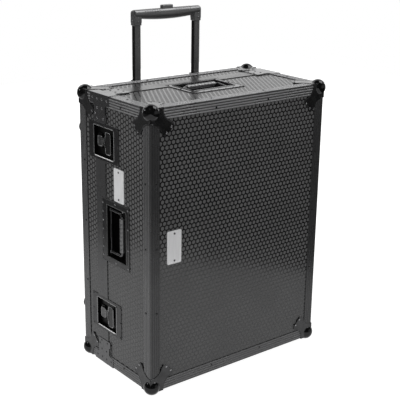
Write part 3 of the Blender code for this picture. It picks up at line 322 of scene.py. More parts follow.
# Scuffed metals: the record's slot, the material's name, its grey and its worn grey, roughness, metallic
SCUFFED = {
    "edge_aluminium": ("edge_aluminium", "angle_anodised", (0.046, 0.047), (0.10, 0.102), 0.26, 0.70),
    # The four rib rows are one anodised rib in lit and shaded copies: a painted highlight on the ribs of the
    # top legs and end faces, paler ribs with painted light on the side uprights and low legs, and painted
    # shade on the upright ribs of the big faces
    "angle_rib": ("edge_aluminium", "angle_rib_painted_highlight", (0.19, 0.193), (0.30, 0.305), 0.27, 0.65),
    "upright_rib": ("edge_aluminium", "upright_rib_painted_shade", (0.034, 0.035), (0.06,), 0.27, 0.70),
    "side_rib": ("edge_aluminium", "side_rib_painted_light", (0.085, 0.087), (0.14,), 0.27, 0.60),
    "low_rib": ("edge_aluminium", "low_rib_anodised", (0.085, 0.087), (0.15,), 0.27, 0.60),
    "bead_steel": ("black_steel", "bead_polished", (0.24, 0.243), (0.40,), 0.24, 0.9),
    # A paler copy of the polished bead for the bead's lower run: a painted highlight where light from above
    # catches it
    "bead_worn": ("black_steel", "bead_worn_bright", (0.62,), (0.80,), 0.30, 0.45),
    "latch_steel": ("black_steel", "latch_plate", (0.060, 0.061), (0.17,), 0.20, 0.9),
    "wing_steel": ("black_steel", "wing_black", (0.022, 0.0225), (0.07,), 0.18, 0.9),
    "grip_satin": ("black_plastic", "grip_satin", (0.14, 0.142), (0.19,), 0.33, 0.9),
    "black_steel": ("black_steel", "plate_black", (0.085, 0.087), (0.16, 0.165), 0.17, 0.95),
    "trolley_aluminium": ("trolley_aluminium", "tube_anodised", (0.058, 0.059), (0.13,), 0.26, 0.45,
                          (1, 1, 0.02)),
    "handle_sleeve": ("rubber", "sleeve_satin", (0.13, 0.132), (0.22,), 0.22, 0.8),
    "rivet": ("black_steel", "rivet_steel", (0.24, 0.245), (0.45, 0.46), 0.20, 0.95),
    "rivet_pale": ("black_steel", "rivet_dull", (0.30, 0.305), (0.45, 0.46), 0.34, 0.4),
    # A darkened copy of the rivet steel: painted shade on the rivets of the lower braces, the end faces and
    # the top handle, also used on the angles, latch flanges and handle springs
    "rivet_painted_shade": ("black_steel", "rivet_steel_painted_shade", (0.030, 0.031), (0.08,), 0.16, 0.9),
}
MATERIALS = {
    "laminate": laminate("laminate_hexagon"),
    # The dish steel is darkened below the case face: painted shade in its recess
    "dish_steel": dished("dish_black", grey(0.042, 0.043), grey(0.010), 0.22),
    "ball_steel": cornered("corner_black", grey(0.048, 0.049), grey(0.032, 0.0325), 0.15, 0.08),
    "black_plastic": moulded("plastic_grained", grey(0.020, 0.0205), 0.34, 1400.0, 0.00008),
    # Near-black with little gloss, for the sheets on the trolley tubes' sides: painted shade
    "tube_groove": moulded("tube_groove_black", grey(0.0035), 0.6, 900.0, 0.00005, 0.05),
    "rubber": moulded("rubber_matt", grey(0.016), 0.72, 900.0, 0.00012),
    "foam": porous("foam_pores"),
    "silver": brushed("plate_silver", grey(0.56, 0.567), 0.36, 0.35, (1, 1, 0.03)),
}
# Each scuffed finish's material; the record's slot listed with it, where the names differ, is not used here
for finish_name, (slot_name, material_name, shade, worn_shade, *sheen) in SCUFFED.items():
    MATERIALS[finish_name] = scuffed(material_name, grey(*shade), grey(*worn_shade), *sheen)

for node in frame["nodes"].values():
    slot_name = node.material_slots[0].material.name.split(".")[0]
    node.material_slots[0].material = MATERIALS[slot_name]


def placed(name, data):
    """Put new data into the scene as an object."""
    made = bpy.data.objects.new(name, data)
    bpy.context.collection.objects.link(made)
    return made


def settled(shape):
    """Turn a bmesh into a mesh with its faces pointing out."""
    bmesh.ops.recalc_face_normals(shape, faces=shape.faces)
    mesh = bpy.data.meshes.new("shape")
    shape.to_mesh(mesh)
    shape.free()
    return mesh


def piece(name, mesh, body, finish, smooth=40, replaces=()):
    """Make a named piece of a mesh that rides on a body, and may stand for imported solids."""
    mesh.name = name
    mesh.materials.clear()
    mesh.materials.append(MATERIALS[finish])
    mesh.shade_smooth()
    mesh.set_sharp_from_angle(angle=math.radians(smooth))
    made = placed(name, mesh)
    flat_sides = made.modifiers.new("flat_sides", "WEIGHTED_NORMAL")
    flat_sides.weight = 100
    flat_sides.keep_sharp = True
    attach(made, body)
    if replaces:
        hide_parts(*replaces)
    return made


def build(name, body, finish, *steps, smooth=40, replaces=()):
    """Make a piece from steps, each an add function and what it is given."""
    shape = bmesh.new()
    for add, *values in steps:
        add(shape, *values)
    piece(name, settled(shape), body, finish, smooth, replaces)


def combined(operation, first, others):
    """Join or cut closed meshes."""
    whole = placed("work_whole", first)
    used = [whole]
    for mesh in others:
        used.append(placed("work_tool", mesh))
        modifier = whole.modifiers.new("combine", "BOOLEAN")
        modifier.operation = operation
        modifier.solver = "EXACT"
        modifier.object = used[-1]
    bpy.context.view_layer.update()
    evaluated = whole.evaluated_get(bpy.context.evaluated_depsgraph_get())
    result = bpy.data.meshes.new_from_object(evaluated)
    for item in used:
        bpy.data.objects.remove(item, do_unlink=True)
    return result


def add_block(shape, low, high, bevel=0.0, steps=1):
    """Add a block between two corners with rounded edges."""
    corners = [sorted(pair) for pair in zip(low, high)]
    centre = Matrix.Translation([(a + b) / 2 for a, b in corners])
    size = Matrix.Diagonal((*[b - a for a, b in corners], 1.0))
    made = bmesh.ops.create_cube(shape, size=1.0, matrix=centre @ size)
    if bevel:
        edges = {edge for vertex in made["verts"] for edge in vertex.link_edges}
        bmesh.ops.bevel(shape, geom=list(edges), offset=bevel, segments=steps, profile=0.5, affect="EDGES")


def block(low, high):
    """A closed block mesh."""
    shape = bmesh.new()
    add_block(shape, low, high)
    return settled(shape)


def add_skin(shape, rings, capped=True):
    """Join rings of places into a tube, closed at both ends or round on itself."""
    rings = [[shape.verts.new(place) for place in ring] for ring in rings]
    pairs = list(zip(rings, rings[1:]))
    if not capped:
        pairs.append((rings[-1], rings[0]))
    for ring, following in pairs:
        for index in range(-len(ring), 0):
            shape.faces.new((ring[index], ring[index + 1], following[index + 1], following[index]))
    if capped:
        shape.faces.new(list(reversed(rings[0])))
        shape.faces.new(rings[-1])


def ring_frame(axis):
    """An axis and two directions square to it."""
    axis = Vector(axis).normalized()
    first = axis.orthogonal().normalized()
    return axis, first, axis.cross(first)


def add_lathe(shape, centre, axis, stations, sides):
    """Add a closed round solid from (place along the axis, radius) stations."""
    axis, first, second = ring_frame(axis)
    add_skin(shape, [[Vector(centre) + axis * place + (first * across + second * up) * radius
                      for across, up in turns(sides)] for place, radius in stations])


def opposite(stations):
    """Stations of the other end of a round solid."""
    return [(-place, radius) for place, radius in reversed(stations)]


SEAT = -0.0002


def add_rivet(shape, point, normal, radius=0.0032, height=0.0012):
    """Add a domed rivet head that sits on a surface."""
    dome = [(height * up, radius * across) for across, up in turns(16)[:4]]
    add_lathe(shape, point, normal, [(SEAT, radius), *dome, (height, radius * 0.12)], 14)


def add_face_rivet(shape, face, first, second, out=0.0, *size):
    """Add a rivet on an outer face."""
    add_rivet(shape, on_face(face, first, second, out), FACES[face][3], *size)


def rivets(name, body, finish, spots, *out):
    """Make a piece of rivets at (face, first, second) spots, all with the same height out."""
    build(name, body, finish, *[(add_face_rivet, *spot, *out) for spot in spots])


def add_screw(shape, point, normal, radius, height):
    """Add a pan-head screw with a cross recess."""
    axis, first, second = ring_frame(normal)
    rim = radius * 0.55
    recess = height * 0.45
    add_lathe(shape, point, normal, [
        (SEAT, radius), (height * 0.5, radius), (height * 0.85, radius * 0.85), (height, rim),
        (recess, rim * 0.82), (recess, rim * 0.1)], 16)
    for way, other in ((first * 0.95, second * 0.2), (second * 0.95, first * 0.2)):
        add_skin(shape, [[Vector(point) + (way * a + other * b) * rim + axis * up
                          for a, b in ((-1, -1), (1, -1), (1, 1), (-1, 1))]
                         for up in (height * 0.4, height * 0.8)])


def add_plate(shape, face, outline, low, high, bevel):
    """Add a flat plate on an outer face from an outline, with a rounded upper edge."""
    points = [Vector(point) for point in outline]
    inner = []
    for before, point, after in zip([points[-1], *points], points, [*points[1:], points[0]]):
        leaving = (after - point).normalized()
        middle = (point - before).normalized() + leaving
        inward = Vector((-middle.y, middle.x)).normalized()
        across = max(0.35, inward.dot(Vector((-leaving.y, leaving.x))))
        inner.append(point + inward * (bevel / across))
    half = [point.lerp(far, 0.3) for point, far in zip(points, inner)]
    levels = ((points, low), (points, high - bevel), (half, high - bevel * 0.3), (inner, high))
    add_skin(shape, [[on_face(face, *point, out) for point in loop] for loop, out in levels])


def rounded(half_width, half_height, radius, steps, centre):
    """A rectangle's outline with round corners."""
    points = []
    for quarter, (across, up) in enumerate(((1, 1), (-1, 1), (-1, -1), (1, -1))):
        for step in range(steps + 1):
            angle = (quarter + step / steps) * math.pi / 2
            points.append((centre[0] + across * (half_width - radius) + radius * math.cos(angle),
                           centre[1] + up * (half_height - radius) + radius * math.sin(angle)))
    return points


def add_rod(shape, points, radius, sides, closed=False):
    """Add a round rod along a line of points."""
    line = [Vector(point) for point in points]
    last = len(line) - 1
    rings = []
    side = None
    for index, point in enumerate(line):
        before = line[index - 1] if index or closed else point
        after = line[index + 1 if index < last else 0] if index < last or closed else point
        heading = (after - before).normalized()
        if side is None:
            side = heading.orthogonal().normalized()
        side = (side - heading * side.dot(heading)).normalized()
        other = heading.cross(side)
        rings.append([point + (side * across + other * up) * radius for across, up in turns(sides)])
    add_skin(shape, rings, capped=not closed)


def add_bead(shape, face, outline, out, radius, closed=True):
    """Add a raised round bead along an outline on a face."""
    add_rod(shape, [on_face(face, place[0], place[1], out) for place in outline], radius, 8, closed)


def bent(corners, radius, steps):
    """A line through corners with each inner corner rounded to an arc."""
    line = [Vector(corner) for corner in corners]
    path = [line[0]]
    for before, corner, after in zip(line, line[1:], line[2:]):
        back = (before - corner).normalized()
        on = (after - corner).normalized()
        half_turn = back.angle(on) / 2
        reach = radius / math.tan(half_turn)
        start, end = corner + back * reach, corner + on * reach
        centre = corner + (back + on).normalized() * (radius / math.sin(half_turn))
        for step in range(steps + 1):
            way = (start - centre).slerp(end - centre, step / steps)
            path.append(centre + way.normalized() * radius)
    return [*path, line[-1]]


def softened(name, width, finish, cuts=()):
    """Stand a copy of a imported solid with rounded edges, and any cuts, in its place."""
    mesh = frame["nodes"][name].data.copy()
    if cuts:
        mesh = combined("DIFFERENCE", mesh, cuts)
    shape = bmesh.new()
    shape.from_mesh(mesh)
    bmesh.ops.remove_doubles(shape, verts=shape.verts, dist=0.00001)
    sharp = [edge for edge in shape.edges
             if edge.is_manifold and edge.calc_face_angle(0.0) > math.radians(35)]
    bmesh.ops.bevel(shape, geom=sharp, offset=width, segments=2, profile=0.5, affect="EDGES",
                    clamp_overlap=True)
    piece(name + "_finished", settled(shape), frame["nodes"][name]["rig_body"], finish, replaces=(name,))


# Ribbed edge angles
ANGLE_LEG = 0.031
RIB_PLACES = (0.0070, 0.0142, 0.0214, 0.0284)
RIB_WIDTH = 0.0038
RIB_HEIGHT = 0.0007
RIB_STEPS = 8
RIB_SUNK = 0.0004
UNDER_PETAL = 0.036
UNDER_BRACE = 0.030
STRIP_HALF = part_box("base_edge_strip")[1].x


def add_rib(shape, face, start, end):
    """Add one shallow round rib between two places on a face."""
    along = (Vector(end) - Vector(start)).normalized()
    across = Vector((-along.y, along.x)) * (RIB_WIDTH / 2)
    profile = [(-side, RIB_HEIGHT * up) for side, up in turns(RIB_STEPS * 2)[:RIB_STEPS + 1]]
    profile += [(1, -RIB_SUNK), (-1, -RIB_SUNK)]
    add_skin(shape, [[on_face(face, *(Vector(place) + across * side), up) for side, up in profile]
                     for place in (start, end)])


def add_leg_ribs(shape, face, upright, arris, inward, low, high):
    """Add the ribs of one angle leg, along the face's first direction, or upright along its second."""
    for place in RIB_PLACES:
        level = arris + inward * place
        ends = [(level, end) if upright else (end, level) for end in (low, high)]
        add_rib(shape, face, *ends)


def angle_ribs():
    """Ribs of every angle of the lid and the base."""
    width = (LEFT + UNDER_PETAL, RIGHT - UNDER_PETAL)
    height = (BOTTOM + UNDER_PETAL, TOP - UNDER_PETAL)
    for half, (face, inward) in HALVES.items():
        arris = EDGES[face]
        depth = sorted((arris + inward * UNDER_PETAL, PARTING - inward * UNDER_BRACE))
        legs = {"angle": [], "upright": [], "side_upright": [], "low": []}
        for side, across in SIDES.items():
            legs["upright"].append((face, True, EDGES[side], -across, *height))
            legs["side_upright"].append((side, True, arris, inward, *height))
        for end, up in ENDS.items():
            span = (-STRIP_HALF, STRIP_HALF) if (half, end) == ("base", "bottom") else width
            level = legs["angle" if end == "top" else "low"]
            level.append((face, False, EDGES[end], -up, *span))
            legs["angle"].append((end, False, arris, inward, *span))
            for side, across in SIDES.items():
                level.append((side, False, EDGES[end], -up, *depth))
                legs["angle"].append((end, True, EDGES[side], -across, *depth))
        # Each kind of leg takes its own lit or shaded copy of the rib finish: painted highlight on the top
        # legs and end faces, painted light on the side uprights and low legs, painted shade on the uprights
        # of the big faces
        for kind, finish in (("angle", "angle_rib"), ("upright", "upright_rib"),
                             ("side_upright", "side_rib"), ("low", "low_rib")):
            build(f"{half}_{kind}_ribs", half, finish, *[(add_leg_ribs, *leg) for leg in legs[kind]])


# Rivets along the angles
RIVET_FROM_ARRIS = 0.0214
RIVET_HEIGHTS = (0.235, 0.419, 0.599)
RIVET_WIDTHS = (0.215, 0.399)
RUN_RIVET = 0.131
STRIP_RIVET_SPREAD = 0.8


def angle_rivets():
    """Rivets along every angle."""
    rows = {name: EDGES[name] - way * RIVET_FROM_ARRIS for name, way in (SIDES | ENDS).items()}
    for half, (face, inward) in HALVES.items():
        row = EDGES[face] + inward * RIVET_FROM_ARRIS
        spots = []
        for height in RIVET_HEIGHTS:
            z = BOTTOM + height
            for side in SIDES:
                spots += [(side, row, z), (face, rows[side], z)]
        for end in ENDS:
            for width in RIVET_WIDTHS:
                if (half, end) == ("base", "bottom"):
                    width = WIDTH / 2 + (width - WIDTH / 2) * STRIP_RIVET_SPREAD
                spots += [(end, LEFT + width, row), (face, LEFT + width, rows[end])]
            if half == "lid":
                y = FRONT + RUN_RIVET
                for side in SIDES:
                    spots += [(side, y, rows[end]), (end, rows[side], y)]
        # The angles' rivets take the darkened rivet copy: painted shade
        rivets(f"{half}_angle_rivets", half, "rivet_painted_shade", spots, RIB_HEIGHT)


# Ball corners with three riveted petals
BALL_RADIUS = 0.023
BALL_PROUD = 0.011
BALL_FLAT = 0.0006
PETAL_THICK = 0.0015
PETAL_ROOT = 0.042
PETAL_REACH = 0.089
PETAL_HALF_WIDTH = 0.022
PETAL_HOLLOW = 0.008
PETAL_TIP_RADIUS = 0.0065
PETAL_RIVETS = ((0.0675, 0.0525), (0.0525, 0.0675))
# How far each level of a petal is drawn in, and its height in thicknesses
PETAL_LEVELS = ((0.0, 0.0), (0.0, 0.55), (0.0003, 0.85), (0.0009, 1.0), (0.0026, 1.0), (0.0032, 0.72))


def petal_outline(inset):
    """A petal's outline in lengths inward from the corner along its two edges, drawn in by an inset."""
    past_corner = inset - (GAP + PETAL_THICK)
    slope = math.sqrt(0.5)
    shoulder = PETAL_REACH - PETAL_TIP_RADIUS * 2
    root = Vector((PETAL_ROOT - inset, 0.0))
    chord = Vector((shoulder + PETAL_HALF_WIDTH - inset, shoulder - PETAL_HALF_WIDTH + inset)) * slope - root
    hollow = Vector((-chord.y, chord.x)).normalized() * PETAL_HOLLOW
    edge = [(PETAL_ROOT - inset, past_corner)]
    for share in [step / 10 for step in range(11)]:
        edge.append(tuple(root + chord * share + hollow * 4 * share * (1 - share)))
    for step in range(6):
        angle = math.pi / 2 * (1 - step / 5)
        along, across = (length - PETAL_TIP_RADIUS + (PETAL_TIP_RADIUS - inset) * part for length, part in
                         ((PETAL_REACH, math.cos(angle)), (PETAL_HALF_WIDTH, math.sin(angle))))
        edge.append(((along + across) * slope, (along - across) * slope))
    return [(past_corner, past_corner), *edge, *[place[::-1] for place in reversed(edge)]]


def petal(axis):
    """One petal with a rounded edge and a raised rim on the face square to an axis, corner at the origin."""
    shape = bmesh.new()
    rings = []
    for inset, level in PETAL_LEVELS:
        rings.append([[-first, -second] for first, second in petal_outline(inset)])
        for place in rings[-1]:
            place.insert(axis, GAP + PETAL_THICK * level)
    add_skin(shape, rings)
    return settled(shape)


def corner_mesh(flattened):
    """A ball corner for the corner whose faces point along +X, +Y and +Z."""
    shape = bmesh.new()
    bmesh.ops.create_uvsphere(shape, u_segments=40, v_segments=24, radius=BALL_RADIUS)
    turn = Vector((0, 0, 1)).rotation_difference(Vector((1, 1, 1))).to_matrix().to_4x4()
    centre = Matrix.Translation((BALL_PROUD - BALL_RADIUS,) * 3)
    bmesh.ops.transform(shape, matrix=centre @ turn, verts=shape.verts)
    whole = combined("UNION", settled(shape), [petal(axis) for axis in range(3)])
    cutters = [block((-1, -1, -1), (GAP, GAP, GAP))]
    if flattened:
        cutters.append(block((-1, -1, BALL_PROUD - BALL_FLAT), (1, 1, 1)))
    return combined("DIFFERENCE", whole, cutters)


def ball_corners():
    """The eight ball corners and their rivets."""
    meshes = {"top": corner_mesh(False), "bottom": corner_mesh(True)}
    height = GAP + PETAL_THICK * PETAL_LEVELS[-1][1]
    for half, (face, inward) in HALVES.items():
        spots, end_spots = [], []
        for end, up, side, across in CORNERS:
            corner = Vector((EDGES[side], EDGES[face], EDGES[end]))
            shape = bmesh.new()
            shape.from_mesh(meshes[end])
            flip = Matrix.Diagonal((across, -inward, up, 1.0))
            bmesh.ops.transform(shape, matrix=Matrix.Translation(corner) @ flip, verts=shape.verts)
            piece(f"{half}_corner_{end}_{side}", settled(shape), half, "ball_steel", 32,
                  (f"{half}_ball_{end}_{side}",))
            for first, second in PETAL_RIVETS:
                x, y, z = corner - Vector((across * first, -inward * first, up * second))
                spots += [(face, x, z), (side, y, z)]
                end_spots.append((end, x, corner.y + inward * second))
        rivets(f"{half}_corner_rivets", half, "rivet", spots, height)
        # The corner rivets on the end faces take the darkened rivet copy: painted shade
        rivets(f"{half}_corner_end_rivets", half, "rivet_painted_shade", end_spots, height)


# Corner braces at the parting
BRACE_THICK = 0.0012
BRACE_SIDE_RIVETS = {"lid": ((0.014, 0.013), (0.038, 0.014), (0.014, 0.038), (0.019, 0.066)),
                     "base": ((0.033, 0.013), (0.009, 0.014), (0.010, 0.039), (0.020, 0.055),
                              (0.010, 0.067))}
BRACE_END_RIVETS = {"lid": ((0.011, 0.045), (0.011, 0.071)),
                    "base": ((0.014, 0.045), (0.014, 0.071), (0.041, 0.045), (0.038, 0.071))}
SLOT_HALF_WIDTH = 0.0022
SLOT_FROM_PARTING = 0.0312
SLOT_INWARD = 0.042
SLOT_HALF_LENGTH = 0.012


def braces():
    """The eight folded plates at the parting with their slots and rivets."""
    height = GAP + BRACE_THICK
    for half, (_face, inward) in HALVES.items():
        spots = {"top": [], "bottom": [], "end": []}
        for end, up, side, across in CORNERS:
            x, z = EDGES[side], EDGES[end]
            slots = []
            for slot_x, slot_z in ((0.0, SLOT_INWARD), (SLOT_INWARD, 0.0)) if half == "lid" else ():
                middle = Vector((x - across * slot_x, PARTING - SLOT_FROM_PARTING, z - up * slot_z))
                half_size = Vector((SLOT_HALF_LENGTH if slot_x else height * 2, SLOT_HALF_WIDTH,
                                    SLOT_HALF_LENGTH if slot_z else height * 2))
                slots.append(block(middle - half_size, middle + half_size))
            softened(f"{half}_brace_{end}_{side}", 0.00045, "black_steel", slots)
            for back, down in BRACE_SIDE_RIVETS[half]:
                spots[end].append((side, PARTING - inward * back, z - up * down))
            for back, aside in BRACE_END_RIVETS[half]:
                spots["end"].append((end, x - across * aside, PARTING - inward * back))
        # Side rivets on the upper braces stay pale; those on the lower braces and the end faces take the
        # darkened rivet copy: painted shade
        for place, finish in (("top", "rivet"), ("bottom", "rivet_painted_shade"), ("end", "rivet_painted_shade")):
            rivets(f"{half}_plate_{place}_rivets", half, finish, spots[place], height)


# Latches
LATCHES = {"upper": TOP - 0.131, "lower": BOTTOM + 0.157}
LATCH_ENDS = {"lid": PARTING - 0.092, "base": PARTING + 0.055}
LATCH_LIPS = {"lid": 0.0235, "base": 0.0240}
LATCH_FLANGE = 0.009
LATCH_RECESS = 0.0515 - LATCH_FLANGE
LATCH_DEPTH = 0.0100
LIP_THICK = 0.0012
# From the dish's end, from its middle, and the radius
LATCH_RIVETS = ((0.0045, -0.0465, 0.0029), (0.0045, 0.0465, 0.0029), (0.0034, 0.0, 0.0026))
HUB_Y = PARTING - 0.022
HUB_DEPTH = 0.0040
HUB_STATIONS = ((-0.001, 0.0125), (0.0005, 0.0125), (0.0009, 0.0120), (0.0009, 0.0106), (0.0002, 0.0100),
                (0.0002, 0.001))
HOOK_SPAN = (PARTING - 0.007, PARTING + 0.0165)
HOOK_HALF_HEIGHT = 0.0150
HOOK_TOP = 0.0006 - HUB_DEPTH
WING_DEPTH = 0.0006
WING_SPAN = (PARTING - 0.052, PARTING - 0.025)
WING_HALF_HEIGHT = 0.032
LUG_END = 0.0142
BEAD_RADIUS = 0.0011


def spanned(span, middle, half, inset, radius, steps):
    """A round-cornered outline from a span and a half height about a middle, drawn in by an inset."""
    low, high = span
    return rounded((high - low) / 2 - inset, half - inset, radius, steps, ((low + high) / 2, middle))


def latch_half(name, side, middle, half):
    """The lip, beads and rivets of one half of a latch's dish."""
    inward = HALVES[half][1]
    end_y = LATCH_ENDS[half]
    near = end_y + inward * (LATCH_FLANGE - 0.001)
    far = end_y + inward * LATCH_LIPS[half]
    wide = LATCH_RECESS + 0.001
    lip = [(add_block, on_face(side, y, middle - wide), on_face(side, far, middle + wide, -depth), 0.0003)
           for y, depth in ((near, LIP_THICK), (far - inward * LIP_THICK, LATCH_DEPTH))]
    build(f"{name}_{half}_lip", half, "dish_steel", *lip)
    start = PARTING - inward * 0.0006
    low, high = middle - LATCH_RECESS - 0.0006, middle + LATCH_RECESS + 0.0006
    low_end = (far + inward * 0.006, low, 0)
    line = bent([low_end, (far, low, 0), (far, high, 0), (start, high, 0)], 0.004, 6)
    build(f"{name}_{half}_bead", half, "bead_steel", (add_bead, side, line, 0.0002, BEAD_RADIUS, False))
    # The bead's lower run takes the paler copy: painted highlight
    build(f"{name}_{half}_bead_low", half, "bead_worn",
          (add_bead, side, [(start, low), low_end], 0.0003, BEAD_RADIUS * 1.15, False))
    spots = [(side, end_y + inward * from_end, middle + along, 0.0, radius)
             for from_end, along, radius in LATCH_RIVETS]
    # The flange rivets take the darkened rivet copy: painted shade
    rivets(f"{name}_{half}_rivets", half, "rivet_painted_shade", spots)


def latch(name, side, middle):
    """A butterfly latch: softened solids, dish halves, hub, hook plate and wing rim."""
    for part, finish in (("dish_lid", "dish_steel"), ("dish_base", "dish_steel"),
                         ("rotor", "latch_steel"), ("wing", "wing_steel")):
        softened(f"{name}_{part}", 0.0005, finish)
    for half in HALVES:
        latch_half(name, side, middle, half)
    rotor = f"{name}_rotor"
    normal = FACES[side][3]
    hub = on_face(side, HUB_Y, middle, -HUB_DEPTH)
    heads = [(add_face_rivet, side, PARTING + 0.006, middle + along, -HUB_DEPTH, 0.0016, 0.0009)
             for along in (-0.0085, 0.0085)]
    build(f"{name}_hub_cap", rotor, "latch_steel", (add_lathe, hub, normal, HUB_STATIONS, 40), *heads)
    outline = spanned(HOOK_SPAN, middle, HOOK_HALF_HEIGHT, 0.0, 0.004, 5)
    build(f"{name}_hook_plate", rotor, "latch_steel",
          (add_plate, side, outline, HOOK_TOP - 0.0010, HOOK_TOP, 0.0003))
    outline = spanned(HOOK_SPAN, middle, HOOK_HALF_HEIGHT, 0.0010, 0.0035, 5)
    build(f"{name}_hook_edge", rotor, "bead_steel", (add_bead, side, outline, HOOK_TOP, 0.0009))
    screw = on_face(side, HUB_Y + 0.0042, middle, 0.0001 - HUB_DEPTH)
    build(f"{name}_hub_screw", rotor, "rivet", (add_screw, screw, normal, 0.0034, 0.0014))
    hinge = WING_SPAN[1] - BEAD_RADIUS
    outline = spanned(WING_SPAN, middle, WING_HALF_HEIGHT, BEAD_RADIUS, 0.0075, 6)
    outline = [(hinge, middle + LUG_END), *outline, (hinge, middle - LUG_END)]
    build(f"{name}_wing_rim", f"{name}_wing", "bead_steel",
          (add_bead, side, outline, -WING_DEPTH, BEAD_RADIUS, False))


# Recessed handles: lengths are from the case's front
HANDLE_LOW = 0.098
HANDLE_HIGH = 0.231
HANDLE_MIDDLE = (HANDLE_LOW + HANDLE_HIGH) / 2
HANDLE_HALF_LENGTH = 0.092
RECESS_HALF = HANDLE_HALF_LENGTH - 0.017
RECESS_DEPTH = 0.024
RECESS_WALL = 0.0022
BAIL_DEPTH = 0.009
BAIL_HALF_SPAN = 0.062
BAIL_RADIUS = 0.0040
GRIP_RADIUS = 0.0075
GRIP_HALF = 0.050
GRIP_GROOVE = ((-0.0018, 0.0), (-0.0009, 0.0006), (0.0009, 0.0006), (0.0018, 0.0))
HANDLES = {
    "side": {"face": "left", "middle": BOTTOM + 0.4195, "recess": (0.113, 0.205), "hinge": 0.199,
             "grip": 0.144, "lift": 0.0, "hinge_rivets": HANDLE_HIGH - 0.0045,
             "grip_rivets": HANDLE_LOW + 0.0065, "dish": "dish_steel", "rivets": "rivet"},
    # The top handle's rivets take the darkened rivet copy: painted shade on the top face
    "top": {"face": "top", "middle": 0.0, "recess": (0.124, 0.216), "hinge": 0.130,
            "grip": 0.185, "lift": 0.005, "hinge_rivets": HANDLE_LOW + 0.0045,
            "grip_rivets": HANDLE_HIGH - 0.0065, "dish": "black_steel", "rivets": "rivet_painted_shade"},
}
HINGE_RIVETS = (-0.078, -0.052, -0.026, 0.0, 0.026, 0.052, 0.078)
GRIP_RIVETS = (-0.084, -0.030, 0.030, 0.084)
END_RIVETS = (-0.0855, 0.0855)
FLOOR_SCREWS = (-0.0395, 0.0085, 0.0225, 0.060)
SPRING_TURNS = 14
SPRING_STEPS = 12


def handle_point(handle, depth, from_front, along):
    """A point of a handle from its depth, its length from the front and its place along the hinge."""
    places = (FRONT + from_front, handle["middle"] + along)
    return on_face(handle["face"], *(places if handle["face"] == "left" else places[::-1]), -depth)


def handle_outline(handle, span, half, outward, radius):
    """A round-cornered outline on a handle's face, drawn outward."""
    low, high = span
    halves = ((high - low) / 2 + outward, half + outward)
    centre = (FRONT + (low + high) / 2, handle["middle"])
    if handle["face"] == "left":
        return rounded(*halves, radius, 6, centre)
    return rounded(*halves[::-1], radius, 6, centre[::-1])


def handle_details(name, handle):
    """A handle's softened dish with beads, rivets and screws, smooth bail with its grip, and spring."""
    face = handle["face"]
    normal = Vector(FACES[face][3])
    axis = handle_point(handle, 0, 0, 1) - handle_point(handle, 0, 0, 0)
    softened(f"handle_{name}_dish", 0.0007, handle["dish"])
    inner = handle_outline(handle, handle["recess"], RECESS_HALF, RECESS_WALL, 0.004)
    outer = handle_outline(handle, (HANDLE_LOW, HANDLE_HIGH), HANDLE_HALF_LENGTH, -0.0012, 0.003)
    build(f"handle_{name}_bead", "lid", "latch_steel", (add_bead, face, inner, 0.0002, 0.0014),
          (add_bead, face, outer, -0.0001, 0.0007))
    rows = ((handle["hinge_rivets"], HINGE_RIVETS), (handle["grip_rivets"], GRIP_RIVETS),
            (HANDLE_MIDDLE, END_RIVETS))
    build(f"handle_{name}_rivets", "lid", handle["rivets"],
          *[(add_rivet, handle_point(handle, 0, row, along), normal, 0.0028)
            for row, places in rows for along in places])
    build(f"handle_{name}_floor_screws", "lid", "rivet_pale",
          *[(add_screw, handle_point(handle, RECESS_DEPTH, HANDLE_MIDDLE, along), normal, 0.0042, 0.0018)
            for along in FLOOR_SCREWS])

    grip_depth = BAIL_DEPTH - handle["lift"]
    hinge, grip = (BAIL_DEPTH, handle["hinge"]), (grip_depth, handle["grip"])
    corners = [handle_point(handle, *place, sign * BAIL_HALF_SPAN)
               for place, sign in ((hinge, -1), (grip, -1), (grip, 1), (hinge, 1))]
    bail = [(add_rod, bent(corners, 0.009, 8), BAIL_RADIUS, 18)]
    for sign in (-1, 1):
        eye = handle_point(handle, *hinge, sign * BAIL_HALF_SPAN)
        bail += [(add_lathe, eye, axis, ((-0.0040, 0.0038), (-0.0034, 0.0046), (0.0034, 0.0046),
                                         (0.0040, 0.0038)), 24),
                 (add_lathe, eye, axis * sign, ((0.0, 0.0033), (0.0068, 0.0033)), 16)]
    build(f"handle_{name}_rod", f"handle_{name}", "black_steel", *bail, smooth=50,
          replaces=(f"handle_{name}_bail",))
    end = [(-GRIP_HALF, GRIP_RADIUS * 0.55), (-GRIP_HALF, GRIP_RADIUS * 0.8),
           (-GRIP_HALF + 0.0012, GRIP_RADIUS)]
    grooves = [(index * 0.012 + place, GRIP_RADIUS - cut)
               for index in range(-3, 4) for place, cut in GRIP_GROOVE]
    build(f"handle_{name}_sleeve", f"handle_{name}", "handle_sleeve",
          (add_lathe, handle_point(handle, *grip, 0), axis, [*end, *grooves, *opposite(end)], 28))

    centre = handle_point(handle, *hinge, 0)
    shaft = BAIL_HALF_SPAN - 0.0046
    other = axis.cross(normal).normalized()
    coil = []
    for step in range(SPRING_TURNS * SPRING_STEPS + 1):
        across, up = turns(SPRING_STEPS)[step % SPRING_STEPS]
        place = -0.020 + 0.040 * step / (SPRING_TURNS * SPRING_STEPS)
        coil.append(centre + axis * place + (normal * across + other * up) * 0.0036)
    # The spring takes the darkened rivet copy: painted shade
    build(f"handle_{name}_spring", "lid", "rivet_painted_shade",
          (add_lathe, centre, axis, ((-shaft, 0.0022), (shaft, 0.0022)), 14), (add_rod, coil, 0.0008, 6),
          smooth=50)


